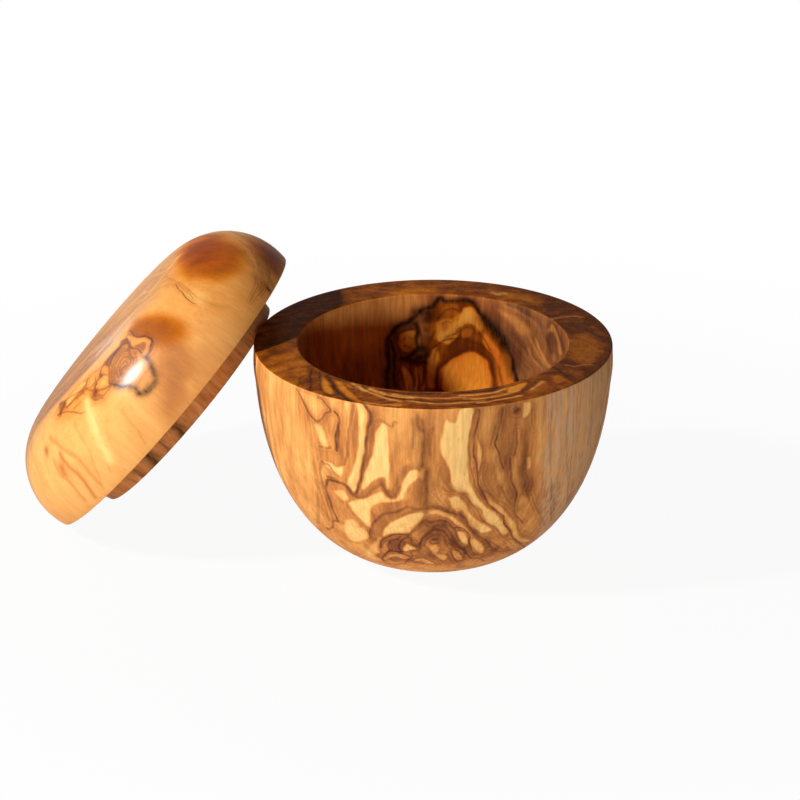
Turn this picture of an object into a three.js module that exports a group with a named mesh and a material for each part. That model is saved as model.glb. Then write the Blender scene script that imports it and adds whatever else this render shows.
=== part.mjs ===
import * as THREE from 'three';

// A turned olive-wood salt pot: a thick-walled bowl and its domed lid, which has been lifted off
// and leans on the bowl's left side with its lower edge on the table.
// Millimetres, +Z up, with the origin at the centre of the bowl's foot.

// The bowl
const RIM_RADIUS = 60;
const POT_HEIGHT = 75;
const MOUTH_RADIUS = 45.3;
const FLOOR_THICKNESS = 14;
const HOLLOW_FULLNESS = 2.4;

// The bowl's outline, a superellipse that hangs from the rim and is cut off flat by the foot
const OUTLINE_CORE_RADIUS = 9.4;
const OUTLINE_RISE_POWER = 2.26;
const OUTLINE_SPREAD_POWER = 2.31;
const FOOT_CUT = 0.9;
const BELLY_SWELL = 0.33;
const BELLY_DEPTH = 7;

// The lid's cap
const LID_SWELL = 0.35;
const LID_WIDEST_HEIGHT = 5;
const SHOULDER_RADIUS = 25.5;
const CROWN_RADIUS = 500;

// The lid's spigot, which drops into the mouth
const SPIGOT_LENGTH = 7.1;
const SPIGOT_CLEARANCE = 0.7;
const SPIGOT_TAPER = 1.6;
const SPIGOT_END_GAP = 2.4;

// Edges rounded over by sanding
const RIM_EDGE = 0.5;
const MOUTH_EDGE = 0.6;
const LID_EDGE = 0.5;
const SPIGOT_EDGE = 0.8;

// How the lid leans
const LEAN_TILT = THREE.MathUtils.degToRad(49.3);
const LEAN_HEADING = THREE.MathUtils.degToRad(-5.3);
const LEAN_OFFSET = 20;
const LEAN_GAP = 0.3;

// Steps round the axis and along each curve
const TURN_STEPS = 72;
const OUTLINE_STEPS = 20;
const HOLLOW_STEPS = 14;
const SHOULDER_STEPS = 12;
const CROWN_STEPS = 5;
const EDGE_STEPS = 3;
const LEAN_SAMPLES = 240;
const LEAN_HALVINGS = 22;

const point = (radius, height) => new THREE.Vector2(radius, height);

// An arc about a centre, from one angle to another, both ends included
function arc(centre, radius, startAngle, endAngle, steps) {
  const points = [];
  for (let i = 0; i <= steps; i += 1) {
    const angle = startAngle + ((endAngle - startAngle) * i) / steps;
    points.push(point(centre.x + radius * Math.cos(angle), centre.y + radius * Math.sin(angle)));
  }
  return points;
}

// A corner between two straight stretches, rounded to a radius
function roundedCorner(before, corner, after, radius) {
  const toBefore = before.clone().sub(corner).normalize();
  const toAfter = after.clone().sub(corner).normalize();
  const halfAngle = Math.acos(toBefore.dot(toAfter)) / 2;
  const tangentLength = radius / Math.tan(halfAngle);
  const toCentre = toBefore.clone().add(toAfter).setLength(radius / Math.sin(halfAngle));
  const centre = corner.clone().add(toCentre);
  const first = toBefore.multiplyScalar(tangentLength).add(corner).sub(centre);
  const last = toAfter.multiplyScalar(tangentLength).add(corner).sub(centre);
  const sweep = Math.atan2(first.cross(last), first.dot(last));
  return arc(centre, radius, first.angle(), first.angle() + sweep, EDGE_STEPS);
}

// The bowl's outer radius at a height above the table
function outlineRadius(height) {
  const belowRim = POT_HEIGHT - height;
  const rise = 1 - (belowRim / (POT_HEIGHT + FOOT_CUT)) ** OUTLINE_RISE_POWER;
  const spread = rise ** (1 / OUTLINE_SPREAD_POWER);
  const radius = OUTLINE_CORE_RADIUS + (RIM_RADIUS - OUTLINE_CORE_RADIUS) * spread;
  const bellyPhase = Math.min(belowRim / (2 * BELLY_DEPTH), 1);
  return radius + BELLY_SWELL * Math.sin(Math.PI * bellyPhase) ** 2;
}

// Foot, outer wall, rim, straight mouth and rounded hollow
function potProfile() {
  const points = [point(0, 0)];
  for (let i = 0; i < OUTLINE_STEPS; i += 1) {
    const height = POT_HEIGHT * (1 - Math.cos((Math.PI / 2) * (i / OUTLINE_STEPS)));
    points.push(point(outlineRadius(height), height));
  }
  const outerEdge = point(RIM_RADIUS, POT_HEIGHT);
  const mouthEdge = point(MOUTH_RADIUS, POT_HEIGHT);
  const mouthDepth = SPIGOT_LENGTH + SPIGOT_END_GAP;
  const mouthFoot = point(MOUTH_RADIUS, POT_HEIGHT - mouthDepth);
  const wallTop = point(outlineRadius(POT_HEIGHT - 2 * RIM_EDGE), POT_HEIGHT - 2 * RIM_EDGE);
  points.push(...roundedCorner(wallTop, outerEdge, mouthEdge, RIM_EDGE));
  points.push(...roundedCorner(outerEdge, mouthEdge, mouthFoot, MOUTH_EDGE));
  const hollowDepth = mouthFoot.y - FLOOR_THICKNESS;
  for (let i = 0; i < HOLLOW_STEPS; i += 1) {
    const angle = (Math.PI / 2) * (i / HOLLOW_STEPS);
    const radius = MOUTH_RADIUS * Math.cos(angle) ** (2 / HOLLOW_FULLNESS);
    const drop = hollowDepth * Math.sin(angle) ** (2 / HOLLOW_FULLNESS);
    points.push(point(radius, mouthFoot.y - drop));
  }
  points.push(point(0, FLOOR_THICKNESS));
  return points;
}

// Spigot, flat underside, side and shoulder in one arc, and a shallow crown arc tangent to it.
// Height zero is the flat underside that rests on the bowl's rim.
function lidProfile() {
  const spigotRoot = point(MOUTH_RADIUS - SPIGOT_CLEARANCE, 0);
  const spigotEdge = point(spigotRoot.x - SPIGOT_TAPER, -SPIGOT_LENGTH);
  const spigotCentre = point(0, -SPIGOT_LENGTH);
  const points = [spigotCentre];
  points.push(...roundedCorner(spigotCentre, spigotEdge, spigotRoot, SPIGOT_EDGE));
  points.push(spigotRoot);

  const shoulderCentre = point(RIM_RADIUS + LID_SWELL - SHOULDER_RADIUS, LID_WIDEST_HEIGHT);
  const onShoulder = (height) => Math.asin((height - shoulderCentre.y) / SHOULDER_RADIUS);
  const rimAngle = onShoulder(0);
  const sideAngle = onShoulder(2 * LID_EDGE);
  const [lidEdge] = arc(shoulderCentre, SHOULDER_RADIUS, rimAngle, rimAngle, 1);
  const [lidSide] = arc(shoulderCentre, SHOULDER_RADIUS, sideAngle, sideAngle, 1);
  points.push(...roundedCorner(spigotRoot, lidEdge, lidSide, LID_EDGE));

  const centreRise = Math.sqrt((CROWN_RADIUS - SHOULDER_RADIUS) ** 2 - shoulderCentre.x ** 2);
  const crownCentre = point(0, shoulderCentre.y - centreRise);
  const tangentAngle = Math.atan2(centreRise, shoulderCentre.x);
  points.push(...arc(shoulderCentre, SHOULDER_RADIUS, sideAngle, tangentAngle, SHOULDER_STEPS));
  const crown = arc(crownCentre, CROWN_RADIUS, tangentAngle, Math.PI / 2, CROWN_STEPS);
  points.push(...crown.slice(1, -1));
  points.push(point(0, crownCentre.y + CROWN_RADIUS));
  return points;
}

// Turns a profile round the Z axis into a closed solid
function turned(profile) {
  const geometry = new THREE.LatheGeometry(profile, TURN_STEPS);
  geometry.rotateX(Math.PI / 2);
  return geometry;
}

// Distance from a point to a solid of revolution, negative inside it
function distanceToTurned(profile, radius, height) {
  let nearest = Infinity;
  let inside = false;
  for (let i = 1; i < profile.length; i += 1) {
    const a = profile[i - 1];
    const b = profile[i];
    const alongX = b.x - a.x;
    const alongY = b.y - a.y;
    const offsetX = radius - a.x;
    const offsetY = height - a.y;
    const share = (offsetX * alongX + offsetY * alongY) / (alongX * alongX + alongY * alongY);
    const clamped = Math.min(Math.max(share, 0), 1);
    nearest = Math.min(nearest, Math.hypot(offsetX - clamped * alongX, offsetY - clamped * alongY));
    if (a.y > height !== b.y > height && radius < a.x + (alongX * offsetY) / alongY) {
      inside = !inside;
    }
  }
  return inside ? -nearest : nearest;
}

// The lean turns the lid about the Y axis, and its lowest edge stands on the table
const leanCos = Math.cos(LEAN_TILT);
const leanSin = Math.sin(LEAN_TILT);

function leanHeight(profile) {
  return Math.max(...profile.map((p) => p.x * leanSin - p.y * leanCos));
}

// The least gap between the leaning lid and the bowl, with the lid's centre at a distance
function leanGap(pot, lid, distance) {
  const height = leanHeight(lid);
  let gap = Infinity;
  for (let i = 0; i < LEAN_SAMPLES; i += 1) {
    const angle = (2 * Math.PI * i) / LEAN_SAMPLES;
    const cos = Math.cos(angle);
    const sin = Math.sin(angle);
    for (const p of lid) {
      const x = p.x * cos * leanCos - p.y * leanSin - distance;
      const y = p.x * sin + LEAN_OFFSET;
      const z = p.x * cos * leanSin + p.y * leanCos + height;
      gap = Math.min(gap, distanceToTurned(pot, Math.hypot(x, y), z));
    }
    for (const p of pot) {
      const x = p.x * cos + distance;
      const y = p.x * sin - LEAN_OFFSET;
      const z = p.y - height;
      const across = x * leanCos + z * leanSin;
      const along = z * leanCos - x * leanSin;
      gap = Math.min(gap, distanceToTurned(lid, Math.hypot(across, y), along));
    }
  }
  return gap;
}

// Slides the leaning lid towards the bowl until only the lean gap is left
function leanDistance(pot, lid) {
  let near = RIM_RADIUS;
  let far = 3 * RIM_RADIUS;
  for (let i = 0; i < LEAN_HALVINGS; i += 1) {
    const middle = (near + far) / 2;
    if (leanGap(pot, lid, middle) < LEAN_GAP) {
      near = middle;
    } else {
      far = middle;
    }
  }
  return far;
}

const potWood = new THREE.MeshStandardMaterial({ color: 0xb0703a, roughness: 0.45, metalness: 0 });
const lidWood = new THREE.MeshStandardMaterial({ color: 0xd9a15a, roughness: 0.45, metalness: 0 });

const potPoints = potProfile();
const lidPoints = lidProfile();

const pot = new THREE.Mesh(turned(potPoints), potWood);
pot.name = 'pot';

const lid = new THREE.Mesh(turned(lidPoints), lidWood);
lid.name = 'lid';
lid.rotation.y = -LEAN_TILT;
lid.position.set(-leanDistance(potPoints, lidPoints), LEAN_OFFSET, leanHeight(lidPoints));

const lean = new THREE.Group();
lean.rotation.z = LEAN_HEADING;
lean.add(lid);

const saltPot = new THREE.Group();
saltPot.name = 'salt_pot';
saltPot.add(pot, lean);

export default saltPot;
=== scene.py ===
import math

import bpy
import numpy as np
from mathutils import Euler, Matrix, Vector


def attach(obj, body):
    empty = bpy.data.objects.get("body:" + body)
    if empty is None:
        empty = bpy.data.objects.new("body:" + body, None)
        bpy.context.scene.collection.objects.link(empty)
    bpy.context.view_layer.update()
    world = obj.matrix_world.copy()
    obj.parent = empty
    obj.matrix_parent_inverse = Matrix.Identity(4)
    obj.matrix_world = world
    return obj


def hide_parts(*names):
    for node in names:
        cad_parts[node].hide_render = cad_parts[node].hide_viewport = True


# A turned olive-wood salt pot, with its domed lid lifted off and leaning on the bowl's rim.
# Sizes are in metres, and the places of the wood's figure are in millimetres.

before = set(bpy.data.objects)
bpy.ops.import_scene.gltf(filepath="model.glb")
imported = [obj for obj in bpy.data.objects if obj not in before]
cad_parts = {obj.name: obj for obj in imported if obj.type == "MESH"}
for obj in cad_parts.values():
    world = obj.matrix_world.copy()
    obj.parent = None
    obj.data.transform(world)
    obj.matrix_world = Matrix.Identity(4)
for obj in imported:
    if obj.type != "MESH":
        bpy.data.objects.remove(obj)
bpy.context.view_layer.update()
MM = 0.001

# The bowl, turned to the frame's own outline
POT_HEIGHT = 0.075
RIM_RADIUS = 0.060
MOUTH_RADIUS = 0.0453
FLOOR_THICKNESS = 0.014
MOUTH_DEPTH = 0.0095
HOLLOW_FULLNESS = 2.4
OUTLINE_CORE_RADIUS = 0.0094
OUTLINE_RISE_POWER = 2.26
OUTLINE_SPREAD_POWER = 2.31
FOOT_CUT = 0.0009
BELLY_SWELL = 0.00033
BELLY_DEPTH = 0.007
RIM_EDGE = 0.0005
MOUTH_EDGE = 0.0006

# The lid, measured from its flat underside
LID_RADIUS = 0.06035
LID_WIDEST_HEIGHT = 0.005
SHOULDER_RADIUS = 0.0255
CROWN_RADIUS = 0.5
SPIGOT_ROOT_RADIUS = 0.0446
SPIGOT_END_RADIUS = 0.0430
SPIGOT_LENGTH = 0.0071
LID_EDGE = 0.0005
SPIGOT_EDGE = 0.0008

# Where the lid leans
LID_TILT = math.radians(49.3)
LID_HEADING = math.radians(-5.3)
LID_CENTRE = (-0.089738, 0.028411, 0.045234)

# Steps round the lathe's axis and along each stretch of an outline
TURN_STEPS = 192
ROW = 0.002
EDGE_STEPS = 3
FINE_STEPS = 2000
MERGE_GAP = 0.02 * MM
SMOOTH_ANGLE = math.radians(35)

# How far off a turned surface a place still counts as on it
COARSE_SKIN = 0.5 * MM
SKIN = 0.3 * MM
THIN_SKIN = 0.2 * MM
FINE_SKIN = 0.1 * MM

# Which faces are cut finer: those on the parts that show, then those within each reach, in
# millimetres, of a drawn line
FRONT_FACING = 0.4
FRONT_LOWEST = 0.004
HOLLOW_LOWEST = 0.035
LID_FRONT_EDGE = 0.005
POT_CUT_REACHES = (1.2, 0.4)
LID_CUT_REACHES = (1.4, 1.0)

# Which cut vertices are moved out to the turned surface again
HOLLOW_TRUED_FROM = 0.030
SHOULDER_TRUED_TO = 0.9 * (LID_WIDEST_HEIGHT + SHOULDER_RADIUS)

# The bowl's wood between the strokes
WALL_TONE = 0.42
WALL_OIL = 0.2
# Painted shade round the foot: how high it reaches, in millimetres, and how dark it is at the table
FOOT_PAINTED_SHADE_HEIGHT = 4.5
FOOT_PAINTED_SHADE_STRENGTH = 0.95
INNER_TONE = 0.76
INNER_OIL = 0.35
INNER_DRYNESS = 0.15
INNER_SHADE = 0.26
INNER_LINES = 0.8
RIM_TONE = 0.92
RIM_OIL = 1
RIM_SHADE = 0.22
RIM_SMUDGE = 0.9
RIM_DRAWN = 0.8

# The lid's wood between the strokes
UNDERSIDE_TONE = 0.85
UNDERSIDE_OIL = 0.5
UNDERSIDE_DRYNESS = 0.4
SPIGOT_DRAWN = 0.7
CROWN_TONE = 0.28
CROWN_DRYNESS = 0.5
CROWN_SHADE = 0.34
CROWN_SHADE_LEAST = 0.4
CROWN_DRAWN = 0.5
LID_DRAWN_BACK_TO = 20
LID_POLISH = 0.06
KNOT_POLISH = 0.6
KNOT_SOFTNESS = 9

# Where one part of the figure fades into the next, from none of it at the first number to all of it
# at the second. The first two go by how squarely the wall faces the viewer, the rest by millimetres.
FRONT_DRAWN_FADE = (0.2, 0.45)
FRONT_OIL_FADE = (0.1, 0.4)
FRONT_DRY_FADE = (34, 37)
INNER_RIGHT_FADE = (20, 26)
INNER_BACK_FADE = (-5, 3)
INNER_TOP_FADE = (28, 36)
RIM_BACK_FADE = (-40, -25)
RIM_RIGHT_FADE = (15, 40)
AMBER_RIGHT_FADE = (30, 42)
AMBER_FRONT_FADE = (18, 4)
CROWN_BACK_FADE = (-36, -26)
CROWN_SHADE_FADE = (20, -30)
KNOT_SIDE_FADE = (-8, -28)

# The camera at the photograph's viewing angle, turned in degrees
CAMERA_PLACE = (0, -0.937, 0.437)
CAMERA_HEADING = 0.68
CAMERA_PITCH = 67.74
CAMERA_ROLL = -0.15
LENS = 135
SENSOR = 36

# The studio
LAMP_AIM = (-0.02, 0, 0.045)
AMBIENT = 0.025
FLOOR_SIZE = 8
FLOOR_NEAR = 0.10
FLOOR_FAR = 0.35
WHITE_NEAR = 0.94
PAPER = (0.75, 0.75, 0.75, 1)
WHITE = (1, 1, 1, 1)


# Outlines

def pot_radius(height):
    """The bowl's outer radius at a height above the table."""
    below_rim = np.maximum(POT_HEIGHT - height, 0)
    rise = 1 - (below_rim / (POT_HEIGHT + FOOT_CUT)) ** OUTLINE_RISE_POWER
    spread = np.maximum(rise, 0) ** (1 / OUTLINE_SPREAD_POWER)
    belly = np.sin(np.pi * np.minimum(below_rim / (2 * BELLY_DEPTH), 1)) ** 2
    return OUTLINE_CORE_RADIUS + (RIM_RADIUS - OUTLINE_CORE_RADIUS) * spread + BELLY_SWELL * belly


def hollow_radius(height):
    """The hollow's radius at a height: a straight mouth over a rounded bottom."""
    top = POT_HEIGHT - MOUTH_DEPTH
    depth = np.clip((top - height) / (top - FLOOR_THICKNESS), 0, 1)
    return MOUTH_RADIUS * (1 - depth ** HOLLOW_FULLNESS) ** (1 / HOLLOW_FULLNESS)


def steps_between(start, end, row):
    """Evenly spaced points of a straight stretch, without its last one."""
    start, end = np.array(start), np.array(end)
    count = max(1, round(float(np.hypot(*(end - start))) / row))
    return [tuple(start + (end - start) * step / count) for step in range(count)]


def rounded_corner(before, corner, after, radius):
    """Points of a corner rounded to a radius between two straight stretches."""
    before, corner, after = Vector(before), Vector(corner), Vector(after)
    to_before = (before - corner).normalized()
    to_after = (after - corner).normalized()
    half_angle = to_before.angle(to_after) / 2
    centre = corner + (to_before + to_after).normalized() * radius / math.sin(half_angle)
    tangent_length = radius / math.tan(half_angle)
    first = corner + to_before * tangent_length - centre
    last = corner + to_after * tangent_length - centre
    spread = first.angle(last)
    points = []
    for step in range(EDGE_STEPS + 1):
        share = step / EDGE_STEPS
        start_part = math.sin((1 - share) * spread) / math.sin(spread)
        end_part = math.sin(share * spread) / math.sin(spread)
        points.append(tuple(centre + first * start_part + last * end_part))
    return points


def thinned(points, row):
    """A finely drawn curve's points, kept about a row apart, with both ends."""
    points = np.array(points)
    run = np.concatenate([[0], np.cumsum(np.hypot(*np.diff(points, axis=0).T))])
    count = max(1, round(run[-1] / row))
    stops = np.linspace(0, run[-1], count + 1)
    return list(zip(np.interp(stops, run, points[:, 0]), np.interp(stops, run, points[:, 1])))


def pot_outline():
    """The bowl's half section, from the middle of its foot round to the middle of its hollow."""
    fine = np.linspace(0, 1, FINE_STEPS)
    wall_heights = (POT_HEIGHT - 2 * RIM_EDGE) * (1 - np.cos(np.pi / 2 * fine))
    wall = thinned(list(zip(pot_radius(wall_heights), wall_heights)), ROW)
    foot_edge = (float(pot_radius(0)), 0)
    rim_corner = (RIM_RADIUS, POT_HEIGHT)
    mouth_corner = (MOUTH_RADIUS, POT_HEIGHT)
    mouth_foot = (MOUTH_RADIUS, POT_HEIGHT - MOUTH_DEPTH)
    rim_round = rounded_corner(wall[-1], rim_corner, mouth_corner, RIM_EDGE)
    mouth_round = rounded_corner(rim_corner, mouth_corner, mouth_foot, MOUTH_EDGE)
    sweep = np.pi / 2 * fine
    hollow_radii = MOUTH_RADIUS * np.cos(sweep) ** (2 / HOLLOW_FULLNESS)
    hollow_depths = (mouth_foot[1] - FLOOR_THICKNESS) * np.sin(sweep) ** (2 / HOLLOW_FULLNESS)
    hollow = thinned(list(zip(hollow_radii, mouth_foot[1] - hollow_depths)), ROW)
    points = steps_between((0, 0), foot_edge, 4 * ROW)
    points += wall[:-1]
    points += rim_round[:-1]
    points += steps_between(rim_round[-1], mouth_round[0], ROW)
    points += mouth_round[:-1]
    points += steps_between(mouth_round[-1], mouth_foot, ROW)
    points += hollow
    points[-1] = (0, FLOOR_THICKNESS)
    return points


def lid_outline():
    """The lid's half section, from the middle of its spigot round to the middle of its crown."""
    spigot_middle = (0, -SPIGOT_LENGTH)
    spigot_edge = (SPIGOT_END_RADIUS, -SPIGOT_LENGTH)
    spigot_root = (SPIGOT_ROOT_RADIUS, 0)
    shoulder_centre = Vector((LID_RADIUS - SHOULDER_RADIUS, LID_WIDEST_HEIGHT))

    def on_shoulder(angle):
        return shoulder_centre + SHOULDER_RADIUS * Vector((math.cos(angle), math.sin(angle)))

    rim_angle = -math.asin(LID_WIDEST_HEIGHT / SHOULDER_RADIUS)
    side_angle = math.asin((2 * LID_EDGE - LID_WIDEST_HEIGHT) / SHOULDER_RADIUS)
    centre_rise = math.sqrt((CROWN_RADIUS - SHOULDER_RADIUS) ** 2 - shoulder_centre.x ** 2)
    crown_centre = shoulder_centre.y - centre_rise
    tangent_angle = math.atan2(centre_rise, shoulder_centre.x)
    spigot_round = rounded_corner(spigot_middle, spigot_edge, spigot_root, SPIGOT_EDGE)
    rim_point, side_point = on_shoulder(rim_angle), on_shoulder(side_angle)
    rim_round = rounded_corner(spigot_root, rim_point, side_point, LID_EDGE)
    shoulder_angles = np.linspace(side_angle, tangent_angle, FINE_STEPS)
    shoulder = [tuple(on_shoulder(angle)) for angle in shoulder_angles]
    crown_angles = np.linspace(tangent_angle, math.pi / 2, FINE_STEPS)
    crown_heights = crown_centre + CROWN_RADIUS * np.sin(crown_angles)
    crown = zip(CROWN_RADIUS * np.cos(crown_angles), crown_heights)
    points = steps_between(spigot_middle, spigot_round[0], 3 * ROW)
    points += spigot_round[:-1]
    points += steps_between(spigot_round[-1], spigot_root, ROW)
    points += steps_between(spigot_root, rim_round[0], ROW)
    points += rim_round[:-1]
    points += thinned(shoulder, ROW)[:-1]
    points += thinned(list(crown), ROW)
    points[-1] = (0, crown_centre + CROWN_RADIUS)
    return points


# Turning

def turned(name, outline):
    """A piece as a lathe makes it: its half section drawn point by point, then spun round the axis."""
    bpy.ops.object.select_all(action="DESELECT")
    bpy.ops.mesh.primitive_plane_add(size=MM)
    piece = bpy.context.object
    piece.name = name
    piece.data.name = name
    bpy.context.tool_settings.mesh_select_mode = (True, False, False)
    bpy.ops.object.mode_set(mode="EDIT")
    bpy.ops.mesh.merge(type="CENTER")
    bpy.ops.transform.translate(value=(outline[0][0], 0, outline[0][1]))
    for start, end in zip(outline, outline[1:]):
        step = (end[0] - start[0], 0, end[1] - start[1])
        bpy.ops.mesh.extrude_region_move(TRANSFORM_OT_translate={"value": step})
    bpy.ops.mesh.select_all(action="SELECT")
    bpy.ops.mesh.spin(steps=TURN_STEPS, angle=2 * math.pi, center=(0, 0, 0), axis=(0, 0, 1))
    bpy.ops.mesh.select_all(action="SELECT")
    bpy.ops.mesh.remove_doubles(threshold=MERGE_GAP)
    bpy.ops.mesh.normals_make_consistent(inside=False)
    bpy.ops.object.mode_set(mode="OBJECT")
    return piece


def vertex_places(piece):
    """Each vertex's place, in metres."""
    places = np.empty(3 * len(piece.data.vertices))
    piece.data.vertices.foreach_get("co", places)
    return places.reshape(-1, 3)


def face_centres(piece):
    """Each face's middle, in metres."""
    centres = np.empty(3 * len(piece.data.polygons))
    piece.data.polygons.foreach_get("center", centres)
    return centres.reshape(-1, 3)


def off_axis(places):
    """Each place's distance from the lathe's axis."""
    return np.hypot(places[:, 0], places[:, 1])


def cut_finer(piece, chosen):
    """Halves the edges of the chosen faces, so that they can hold fine figure."""
    mesh = piece.data
    mesh.vertices.foreach_set("select", np.zeros(len(mesh.vertices), bool))
    mesh.edges.foreach_set("select", np.zeros(len(mesh.edges), bool))
    mesh.polygons.foreach_set("select", chosen)
    bpy.context.tool_settings.mesh_select_mode = (False, False, True)
    bpy.ops.object.mode_set(mode="EDIT")
    bpy.ops.mesh.subdivide(number_cuts=1)
    bpy.ops.object.mode_set(mode="OBJECT")


def trued(piece, chosen, radius_at):
    """Moves the chosen vertices out to the turned surface, after their faces were cut finer."""
    places = vertex_places(piece)
    radius = off_axis(places)
    wanted = radius_at(places[:, 2])
    scale = np.where(chosen, wanted / np.maximum(radius, MM), 1)
    places[:, :2] *= scale[:, None]
    piece.data.vertices.foreach_set("co", places.ravel())
    piece.data.update()


# Drawing the figure of the wood

def smooth_line(points, steps=5):
    """A smooth curve through points drawn one by one."""
    points = np.array(points, float)
    padded = np.vstack([2 * points[0] - points[1], points, 2 * points[-1] - points[-2]])
    curve = []
    for before, start, end, after in zip(padded, padded[1:], padded[2:], padded[3:]):
        for share in np.arange(steps) / steps:
            bend = (end - before) / 2 * share
            lift = (2 * before - 5 * start + 4 * end - after) / 2 * share ** 2
            turn = (3 * start - before - 3 * end + after) / 2 * share ** 3
            curve.append(start + bend + lift + turn)
    curve.append(points[-1])
    return np.array(curve)


def distance_to(line, places, reach):
    """Each place's distance from a line, no more than a reach."""
    distance = np.full(len(places), float(reach))
    for start, end in zip(line, line[1:]):
        low = np.minimum(start, end) - reach
        high = np.maximum(start, end) + reach
        near = np.flatnonzero(np.all((places > low) & (places < high), axis=1))
        span = end - start
        offset = places[near] - start
        along = np.clip(offset @ span / max(span @ span, 1e-9), 0, 1)
        gap = np.hypot(*(offset - along[:, None] * span).T)
        distance[near] = np.minimum(distance[near], gap)
    return distance


def inside(shape, places):
    """True for each place inside a closed shape."""
    across, up = places.T
    crossings = np.zeros(len(places), bool)
    for start, end in zip(shape, np.roll(shape, -1, axis=0)):
        if start[1] == end[1]:
            continue
        spans = (start[1] > up) != (end[1] > up)
        edge = start[0] + (up - start[1]) * (end[0] - start[0]) / (end[1] - start[1])
        crossings ^= spans & (across < edge)
    return crossings


def wobbled(places, size, amount):
    """Places nudged about a little, so that drawn lines run as unevenly as wood's do."""
    across, up = (places / size).T
    nudge_across = np.sin(2.1 * up + 1.3 * np.sin(1.7 * across))
    nudge_across += 0.6 * np.sin(5.3 * up + 3.1 * across)
    nudge_up = np.sin(1.9 * across + 1.1 * np.sin(2.3 * up))
    nudge_up += 0.6 * np.sin(4.7 * across - 3.7 * up)
    return places + amount * np.stack([nudge_across, nudge_up], axis=1)


def faded_out(gap, width):
    """One on a line, and less and less further off it."""
    return np.exp(-((gap / width) ** 2))


def faded_in(values, start, end):
    """Nothing up to the start, all from the end on, and an even rise between them."""
    return np.clip((values - start) / (end - start), 0, 1)


class Figure:
    """The wood's figure over one piece, as numbers for each of its places. Tone is how brown the wood
    is, vein how dark and smoke how blue-black, which round the foot is painted shade. Growth is the
    distance from the nearest vein, which the fine growth lines follow, and edge the distance from
    anything drawn crisply. Drawn is how far the drawn figure takes over from the wood's own rings. Oil
    is how deep the oil has soaked in, up to 2, dry is how much of the greyer open grain shows and
    polish how much of a shine it has taken."""

    REACH = 10
    FAINT_VEIN = 0.26
    CRISP_SOFTNESS = 1
    EDGE_GAP = 0.3
    PATCH_OUTLINE = 0.22
    PATCH_OUTLINE_WIDTH = 0.9
    STREAK_SPREAD = 0.7
    VEIN_SPREAD = 0.45
    SMUDGE_SPREAD = 0.6
    BESIDE_VEIN = 0.35
    BESIDE_VEIN_WIDTH = 0.5

    def __init__(self, count):
        self.tone = np.zeros(count)
        self.vein = np.zeros(count)
        self.smoke = np.zeros(count)
        self.growth = np.full(count, float(self.REACH))
        self.edge = np.full(count, float(self.REACH))
        self.drawn = np.zeros(count)
        self.oil = np.zeros(count)
        self.dry = np.zeros(count)
        self.polish = np.zeros(count)

    def cover(self, chart, softness, points):
        """How much of each place a closed, soft-edged area covers, and how far off its edge is."""
        outline = smooth_line(list(points) + [points[0]])
        depth = distance_to(outline, chart, self.REACH)
        signed = np.where(inside(outline, chart), depth, -depth)
        share = np.clip(0.5 + signed / (2 * softness), 0, 1)
        return share * share * (3 - 2 * share), depth

    def gap(self, chart, points):
        """Each place's distance from a smooth line through points."""
        return distance_to(smooth_line(points), chart, self.REACH)

    def near(self, chosen, gap):
        """Notes how near the chosen places are to something drawn crisply."""
        self.edge[chosen] = np.minimum(self.edge[chosen], gap)

    def patch(self, chosen, chart, tone, softness, points):
        """A closed area of one tone with a soft edge, outlined browner where the edge is crisp."""
        share, depth = self.cover(chart, softness, points)
        self.tone[chosen] += (tone - self.tone[chosen]) * share
        if softness <= self.CRISP_SOFTNESS:
            browner = self.PATCH_OUTLINE * (1 - share) * faded_out(depth, self.PATCH_OUTLINE_WIDTH)
            self.tone[chosen] += (1 - self.tone[chosen]) * browner
            self.near(chosen, depth + self.EDGE_GAP)

    def soak(self, chosen, chart, depth, softness, points):
        """A closed area that oil has darkened to amber."""
        share, _ = self.cover(chart, softness, points)
        self.oil[chosen] += (depth - self.oil[chosen]) * share

    def streak(self, chosen, chart, tone, width, points):
        """A soft band of one tone along a line."""
        gap = self.gap(chart, points)
        share = faded_out(gap, self.STREAK_SPREAD * width)
        self.tone[chosen] += (tone - self.tone[chosen]) * share
        self.vein[chosen] *= 1 - share
        self.oil[chosen] *= 1 - share / 2
        self.near(chosen, gap + self.EDGE_GAP)

    def line(self, chosen, chart, strength, width, points):
        """A vein along a line, with browner wood beside it."""
        gap = self.gap(chart, points)
        core = strength * faded_out(gap, self.VEIN_SPREAD * width)
        beside = self.BESIDE_VEIN * strength * faded_out(gap, width + self.BESIDE_VEIN_WIDTH)
        self.vein[chosen] = np.maximum(self.vein[chosen], core)
        self.tone[chosen] += (1 - self.tone[chosen]) * beside
        if strength > self.FAINT_VEIN:
            self.growth[chosen] = np.minimum(self.growth[chosen], gap)
        self.near(chosen, gap + 1 - strength)

    def smudge(self, chosen, chart, strength, width, points):
        """A soft blue-black shadow along a line."""
        share = faded_out(self.gap(chart, points), self.SMUDGE_SPREAD * width)
        self.smoke[chosen] = np.maximum(self.smoke[chosen], strength * share)

    def write(self, piece):
        """Keeps the figure on the piece's vertices, for its material to read."""
        for name in ("tone", "vein", "smoke", "growth", "drawn", "oil", "dry", "polish"):
            values = getattr(self, name)
            piece.data.attributes.new(name, "FLOAT", "POINT").data.foreach_set("value", values)


# Tones run from 0, the palest sapwood, through 0.3, honey, 0.56, tan, and 0.82, brown, to 1, umber.
# A patch is its tone, the softness of its edge and its outline. A streak is its tone, width and line.
# A vein or a smudge of smoke is its strength, width and line. A place soaked in oil is its depth, the
# softness of its edge and its outline. The outlines that are both a patch and soaked have a name.

# Places across and up on the bowl's front

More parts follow.
